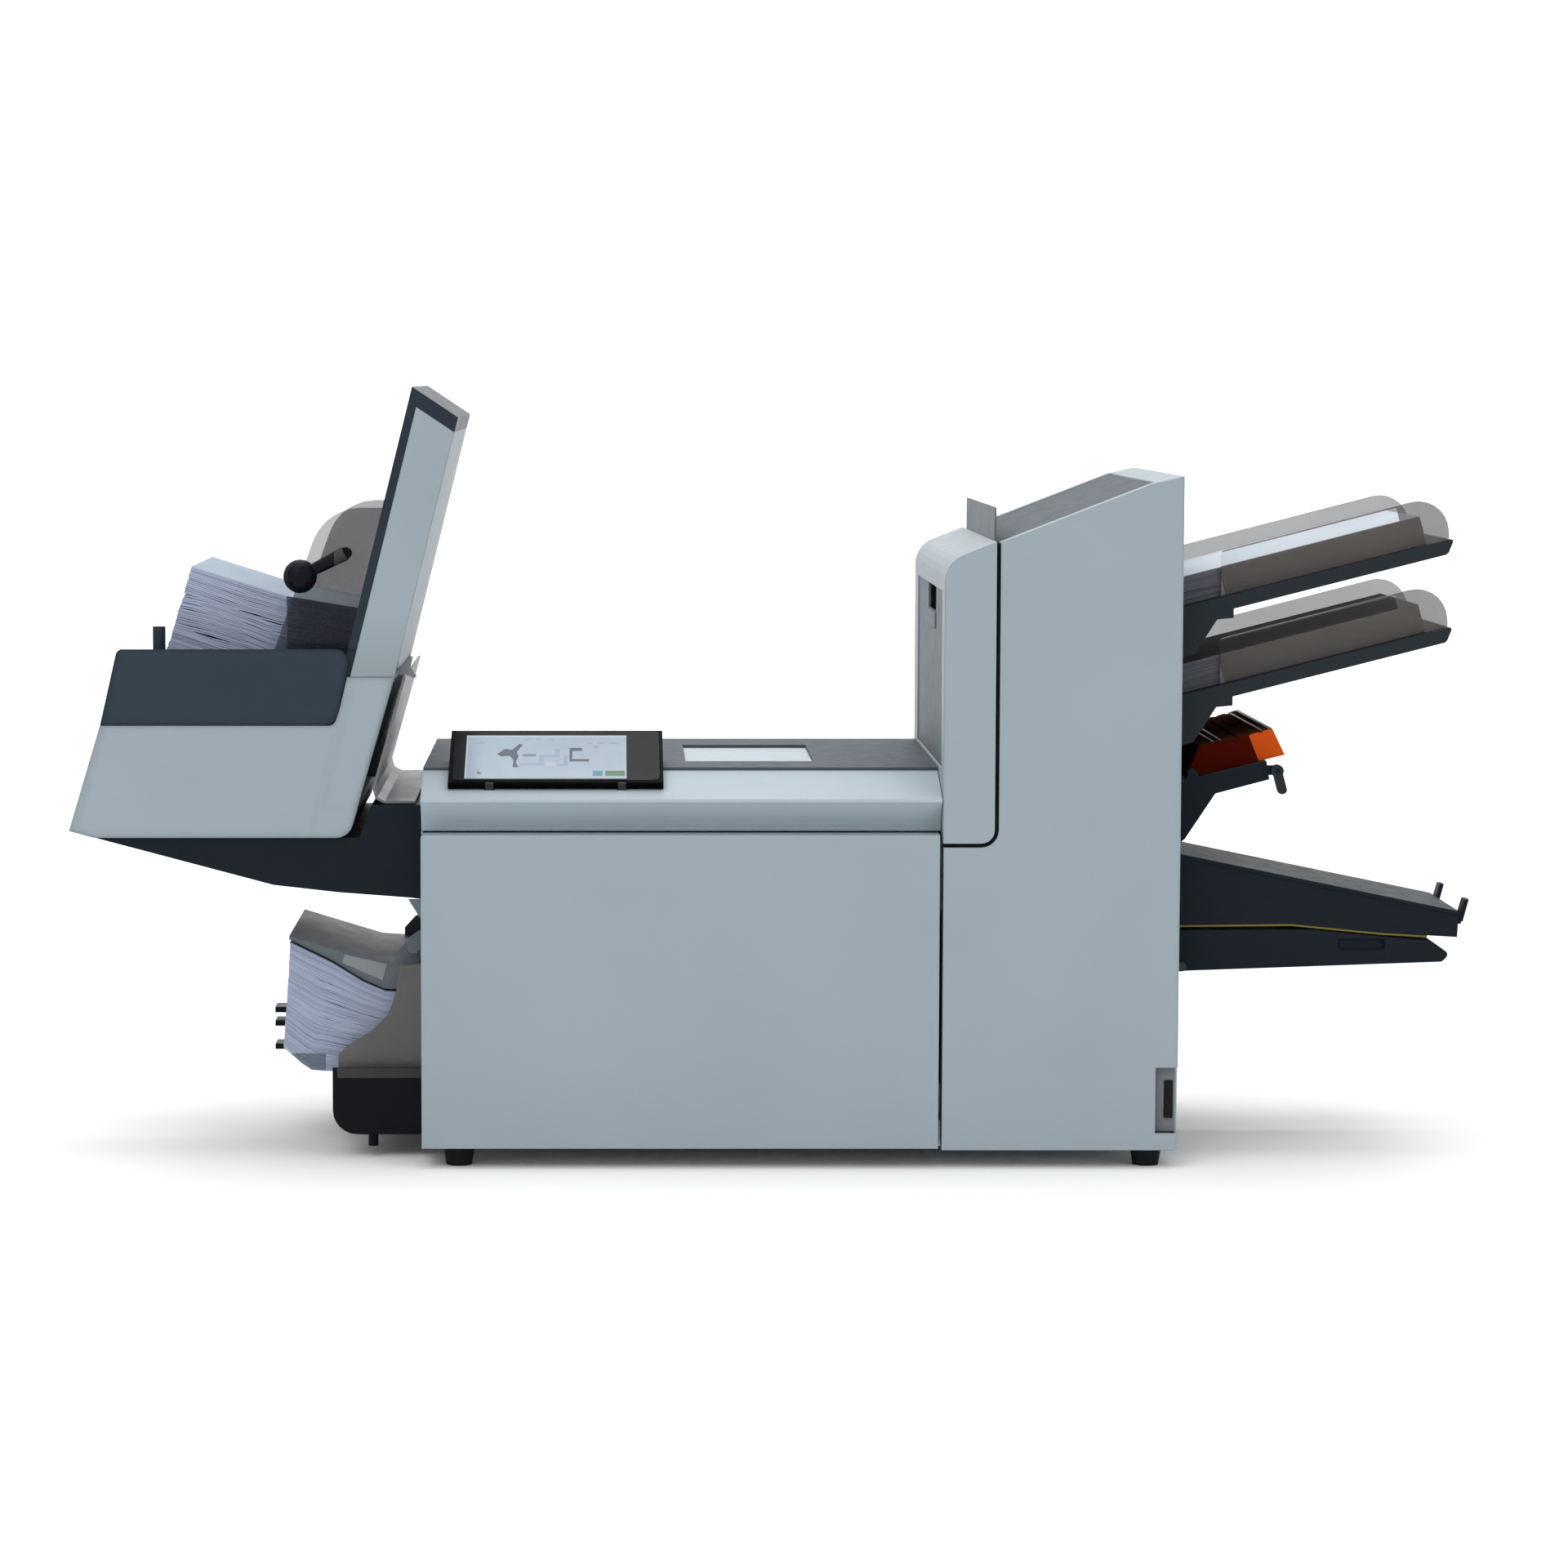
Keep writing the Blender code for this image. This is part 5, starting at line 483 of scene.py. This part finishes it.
def make_piles():
    pile("stack_layers", [on_floor(STACK_REACH, FIT), on_floor(WALL_GAP, FIT)],
         [on_floor(STACK_REACH, STACK_HEIGHT), on_floor(STACK_BEND, STACK_HEIGHT), on_floor(0, STACK_WALL_HEIGHT)],
         ENVELOPE_FRONT, ENVELOPE_REAR, 48, 0.88, "stacker_floor", ENVELOPES, 3,
         0.0009, 0.0020, "stacker_envelopes")

    def hopper(shares):
        return [HOPPER_CORNER + HOPPER_SIZE * Vector(share) for share in shares]

    pile("hopper_layers", hopper(HOPPER_LOWER), hopper(HOPPER_UPPER), ENVELOPE_FRONT, ENVELOPE_REAR, 56, 0.93,
         "chassis", ENVELOPES, 8, 0.0005, 0.0015, "hopper_envelopes")
    left = TOWER_END - PAPER_ENTRY
    right = left + PAPER_LENGTH * math.cos(TRAY_SLOPE)
    thick = Vector((-math.sin(TRAY_SLOPE), math.cos(TRAY_SLOPE))) * PAPER_PILE
    for prefix, drop, seed in TRAYS:
        rise = TRAY_FOOT.z - drop + FIT / math.cos(TRAY_SLOPE)
        base = [Vector((x, rise + (x - TRAY_FOOT.x) * math.tan(TRAY_SLOPE))) for x in (left, right)]
        pile(prefix + "_layers", base, [point + thick for point in base], PAPER_FRONT, PAPER_REAR, 26, 0.9,
             "chassis", SHEETS_SHADED if drop else SHEETS, seed, 0.0004, 0.0012, prefix + "_sheets")


# Picture on the display
TILT = 0.36477381366681483
SCREEN_PLACE = (Matrix.Translation(Vector((0.026, 0.02225, 0.374194)) + CORNER) @ Matrix.Rotation(TILT, 4, "X"))
SCREEN_RISE = 0.00035
SCREEN_SHEET = 0.0001
SCREEN_GLOW = 0.62
MILLI = 0.001


def lit(name, colour, strength):
    """A lit part of the screen, slightly uneven behind its glass."""
    finish, tree, shader = graph(name)
    place = tree.nodes.new("ShaderNodeTexCoord").outputs["Object"]
    glow = shade(tree, colour, spread(tree, noise(tree, place, 40, 2), 0.96, 1.04))
    link(tree, glow, shader.inputs["Emission Color"])
    shader.inputs["Emission Strength"].default_value = strength
    dark = shade(tree, colour, spread(tree, noise(tree, place, 60, 2), 0.04, 0.06))
    link(tree, dark, shader.inputs["Base Color"])
    shader.inputs["Roughness"].default_value = 0.12
    return finish


def raised(body, face, by):
    """A face made into a solid by moving a copy of it."""
    grown = bmesh.ops.extrude_face_region(body, geom=[face])
    for corner in grown["geom"]:
        if isinstance(corner, bmesh.types.BMVert):
            corner.co += by


def make_picture():
    """A diagram of the machine and its buttons: colour, rise and outlines in millimetres of the screen."""
    picture = {
        "field": ("B5C9DA", 0.0, [[(15.6, 6.3), (172.4, 6.3), (172.4, 102.2), (15.6, 102.2)]]),
        "rim": ("D3E0EA", 0.0001, [[(15.6, 6.3), (17.4, 6.3), (17.4, 102.2), (15.6, 102.2)],
                                   [(17.4, 98.6), (172.4, 98.6), (172.4, 102.2), (17.4, 102.2)]]),
        "machine": ("33435C", 0.0001, [[(46.2, 60.7), (53.9, 72.1), (60.9, 69.8), (67.7, 83.7), (70.7, 81.3),
                                        (65.0, 65.2), (67.2, 56.1), (64.8, 42.4), (67.7, 31.1), (61.7, 31.1),
                                        (62.4, 47.0), (58.2, 57.0), (50.3, 55.1)]]),
        "feeder": ("3F4A5A", 0.0001, [[(116.8, 67.5), (128.9, 67.5), (128.9, 74.4), (116.8, 74.4)],
                                      [(116.8, 49.2), (119.6, 49.2), (119.6, 67.5), (116.8, 67.5)],
                                      [(116.8, 44.0), (136.0, 44.0), (136.0, 49.2), (116.8, 49.2)]]),
        "track": ("9FB8D4", 0.0001, [[(67.8, 35.4), (91.9, 35.4), (91.9, 53.6), (107.4, 53.6), (107.4, 71.8),
                                      (102.4, 71.8), (102.4, 58.6), (86.9, 58.6), (86.9, 40.4), (67.8, 40.4)],
                                     [(104.9, 34.0), (115.4, 34.0), (115.4, 39.0), (104.9, 39.0)],
                                     [(111.4, 39.0), (115.4, 39.0), (115.4, 57.0), (111.4, 57.0)]]),
        "sheet": ("C6D4DD", 0.0002, [[(93.3, 33.3), (103.3, 33.3), (103.3, 42.4), (93.3, 42.4)]]),
        "belt": ("7E8DA6", 0.0001, [[(71.1, 55.0), (84.2, 55.0), (84.2, 61.0), (71.1, 61.0)]]),
        "marks": ("A3B4C4", 0.0001, [[(x, y), (x + w, y), (x + w, y + 2.6), (x, y + 2.6)]
                                     for x, y, w in ((72, 92, 7), (84, 92, 5), (96, 92, 6), (109, 92, 4),
                                                     (134, 84, 5), (143, 84, 8), (155, 84, 10), (24, 84, 11))]),
        "flag": ("B398C4", 0.0002, [[(139.5, 74.6), (146, 74.6), (144, 78.4), (141, 78.4)]]),
        "stop": ("1C8CA8", 0.0002, [[(139.7, 12.2), (149.0, 12.2), (149.0, 23.0), (139.7, 23.0)]]),
        "start": ("2A7A3A", 0.0002, [[(151.9, 12.2), (170.7, 12.2), (170.7, 23.0), (151.9, 23.0)]]),
        "menu": ("6C7E90", 0.0001, [[(27.6, 15.6), (31.2, 15.6), (31.2, 21.4), (27.6, 21.4)]])}
    for name, (code, rise, outlines) in picture.items():
        body = bmesh.new()
        for outline in outlines:
            corners = [body.verts.new((u * MILLI, v * MILLI, SCREEN_RISE + rise)) for u, v in outline]
            raised(body, body.faces.new(corners), Vector((0, 0, SCREEN_SHEET)))
        bmesh.ops.transform(body, matrix=SCREEN_PLACE, verts=body.verts)
        piece("screen_" + name, body, lit("screen_" + name, linear(code), SCREEN_GLOW), "display")


# Seals, labels and trims
def prism(body, outline, start, end):
    """A shape given in X and Z, from one depth to another."""
    face = body.faces.new([body.verts.new((x + CORNER.x, start + CORNER.y, z)) for x, z in outline])
    raised(body, face, Vector((0, end - start, 0)))


def band_along(path, width):
    """An outline of one width along a path."""
    left, right = [], []
    points = [Vector(point) for point in path]
    for index, point in enumerate(points):
        before = points[max(0, index - 1)]
        after = points[min(len(points) - 1, index + 1)]
        normal = (after - before).normalized().orthogonal()
        left.append(tuple(point + normal * width / 2))
        right.append(tuple(point - normal * width / 2))
    return left + right[::-1]


GROOVE_X, GROOVE_TOP, GROOVE_END = 0.5545, 0.6045, 0.5038
GROOVE_TURN, GROOVE_RADIUS = Vector((0.5395, 0.3295)), 0.015
GROOVE_WIDTH, GROOVE_FRONT, GROOVE_REAR = 0.0022, 0.005, 0.017
ARM_FRONT, ARM_REAR = 0.1000, 0.3200
LABEL_SHAPE = [(-0.0790, 0.1965), (-0.0370, 0.1868), (-0.0415, 0.1703), (-0.0818, 0.1877)]
LABEL_FRONT, LABEL_REAR = ARM_FRONT - 0.0005, ARM_FRONT + 0.0001
STRIP_PATH = [(0.7320, 0.2290), (0.8468, 0.2302), (0.9324, 0.2217), (0.9800, 0.2188)]
STRIP_WIDTH, STRIP_FRONT, STRIP_REAR = 0.0018, 0.0612, 0.0660
RIB_STARTS = [(0.7725, 0.4062), (0.7795, 0.4079), (0.8205, 0.4171), (0.8275, 0.4196)]
RIB_SHAPE = [(0, 0), (0.0014, 0.0004), (0.0013, 0.0012), (-0.0001, 0.0008)]
RIB_FRONT, RIB_REAR = 0.0950, 0.3250


def make_trims():
    """The seal around the column's side door, the arm's label, the tray's strip and the hood's ribs."""
    steps = 6
    groove = [(GROOVE_X, GROOVE_TOP), (GROOVE_X, GROOVE_TURN.y)]
    for turn in range(1, steps + 1):
        angle = math.pi / 2 * turn / steps
        groove.append(GROOVE_TURN + Vector((math.cos(angle), -math.sin(angle))) * GROOVE_RADIUS)
    groove.append((GROOVE_END, GROOVE_TURN.y - GROOVE_RADIUS))
    body = bmesh.new()
    prism(body, band_along(groove, GROOVE_WIDTH), GROOVE_FRONT, GROOVE_REAR)
    piece("groove_seal", body, RUBBER, "chassis")
    body = bmesh.new()
    prism(body, LABEL_SHAPE, LABEL_FRONT, LABEL_REAR)
    piece("arm_label", body, LABEL, "weight_arm")
    body = bmesh.new()
    prism(body, band_along(STRIP_PATH, STRIP_WIDTH), STRIP_FRONT, STRIP_REAR)
    piece("tray_strip", body, OLIVE, "chassis")
    body = bmesh.new()
    for x, z in RIB_STARTS:
        prism(body, [(x + out, z + up) for out, up in RIB_SHAPE], RIB_FRONT, RIB_REAR)
    piece("hood_ribs", body, CHUTE, "insert_hood")


ARM_SHELL = [(-0.1338, 0.2110), (-0.1338, 0.2145), (-0.0532, 0.1900), (-0.0050, 0.1870), (-0.0050, 0.1750),
             (-0.0180, 0.1614), (-0.0395, 0.1618), (-0.0600, 0.1708), (-0.0913, 0.1902)]
ARM_EAR = [(-0.0300, 0.1700), (-0.0300, 0.1960), (-0.0190, 0.2080), (-0.0120, 0.2105), (-0.0060, 0.2080),
           (-0.0050, 0.1750), (-0.0150, 0.1680)]
EAR_THICKNESS, EAR_INSET = 0.0060, 0.0002
PIN_CENTRE, PIN_RADIUS, PIN_SIDES = Vector((-0.0120, 0.2050)), 0.002, 16
PIN_LENGTH, PIN_OUT = 0.0040, 0.0035
PIN_STARTS = (ARM_FRONT - PIN_OUT, ARM_REAR - PIN_LENGTH + PIN_OUT)


def make_arm():
    """The weight arm: a folded plate with a low front face, hinged on narrow ears at both ends."""
    body = bmesh.new()
    prism(body, ARM_SHELL, ARM_FRONT, ARM_REAR)
    arm = piece("arm_plate", body, SLATE, "weight_arm")
    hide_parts("weight_arm")
    body = bmesh.new()
    for start in (ARM_FRONT + EAR_INSET, ARM_REAR - EAR_INSET - EAR_THICKNESS):
        prism(body, ARM_EAR, start, start + EAR_THICKNESS)
    for start in PIN_STARTS:
        turns = [math.pi * 2 * step / PIN_SIDES for step in range(PIN_SIDES)]
        prism(body, [PIN_CENTRE + Vector((math.cos(turn), math.sin(turn))) * PIN_RADIUS for turn in turns],
              start, start + PIN_LENGTH)
    piece("arm_ears", body, SLATE, "weight_arm")


make_piles()
make_picture()
make_trims()
make_arm()


# Floor and light
def stage_surface():
    finish, tree, shader = graph("pale_floor")
    place = tree.nodes.new("ShaderNodeTexCoord").outputs["Object"]
    pale = shade(tree, (0.97, 0.97, 0.97), spread(tree, noise(tree, place, 3, 2), 0.99, 1.01))
    link(tree, pale, shader.inputs["Base Color"])
    shader.inputs["Roughness"].default_value = 0.9
    shader.inputs["Specular IOR Level"].default_value = 0.1
    return finish


FLOOR_FRONT, WALL_PLACE, WALL_TOP = -9.0, 6.2, 7.0
FLOOR_REACH = 8.0
COVE_RADIUS, COVE_STEPS = 1.6, 12


def make_stage():
    """A pale floor that rises in a wide curve, far enough back for a camera behind the machine."""
    body = bmesh.new()
    foot = WALL_PLACE - COVE_RADIUS
    profile = [(FLOOR_FRONT, 0.0), (foot, 0.0)]
    for step in range(1, COVE_STEPS + 1):
        turn = math.pi / 2 * step / COVE_STEPS
        profile.append((foot + COVE_RADIUS * math.sin(turn), COVE_RADIUS - COVE_RADIUS * math.cos(turn)))
    profile.append((WALL_PLACE, WALL_TOP))
    rows = [[body.verts.new((x, y, z)) for y, z in profile] for x in (-FLOOR_REACH, FLOOR_REACH)]
    for a, b, c, d in zip(rows[0], rows[0][1:], rows[1][1:], rows[1]):
        body.faces.new((a, d, c, b))
    mesh = bpy.data.meshes.new("backdrop")
    body.to_mesh(mesh)
    body.free()
    mesh.shade_smooth()
    mesh.materials.append(stage_surface())
    backdrop = bpy.data.objects.new("backdrop", mesh)
    bpy.context.scene.collection.objects.link(backdrop)


# Each lamp's place, the point that it faces, its size and its power in watts
LAMPS = {
    "key": ((-1.6, -3.2, 3.0), (0, 0, 0.3), (2.6, 1.8), 50),
    "fill": ((2.6, -2.6, 1.8), (0, 0, 0.3), (2.2, 1.8), 21),
    "top": ((0, 0.2, 3.2), (0, 0, 0), (3.6, 2.4), 44),
    "backdrop_lamp": ((0, 3.4, 4.6), (0, 6.2, 0.6), (7.0, 1.2), 190)}
SKY = 0.70


def make_light():
    world = bpy.data.worlds.new("studio")
    world.use_nodes = True
    world.node_tree.nodes["Background"].inputs["Color"].default_value = (1, 1, 1, 1)
    world.node_tree.nodes["Background"].inputs["Strength"].default_value = SKY
    bpy.context.scene.world = world
    for name, (place, aim, size, power) in LAMPS.items():
        light = bpy.data.lights.new(name, "AREA")
        light.shape = "RECTANGLE"
        light.size, light.size_y = size
        light.energy = power
        holder = bpy.data.objects.new(name, light)
        holder.location = place
        holder.rotation_euler = (Vector(aim) - Vector(place)).to_track_quat("-Z", "Y").to_euler()
        bpy.context.scene.collection.objects.link(holder)


# The photograph's view: the focal length, shift and horizon are in its pixels
IMAGE_SIZE, FOCAL, SIDE_SHIFT, HORIZON = 1920, 5410, 208, 502
SENSOR = 36
CAMERA_PLACE = (-0.1536, -4.430, 0.7657)


def make_camera():
    camera = bpy.data.cameras.new("camera")
    camera.sensor_width = SENSOR
    camera.lens = SENSOR * FOCAL / IMAGE_SIZE
    camera.shift_x = SIDE_SHIFT / IMAGE_SIZE
    holder = bpy.data.objects.new("camera", camera)
    holder.location = CAMERA_PLACE
    holder.rotation_euler = (math.pi / 2 - math.atan(HORIZON / FOCAL), 0, 0)
    bpy.context.scene.collection.objects.link(holder)
    bpy.context.scene.camera = holder


make_stage()
make_light()
make_camera()
bpy.context.scene.view_settings.view_transform = "Standard"
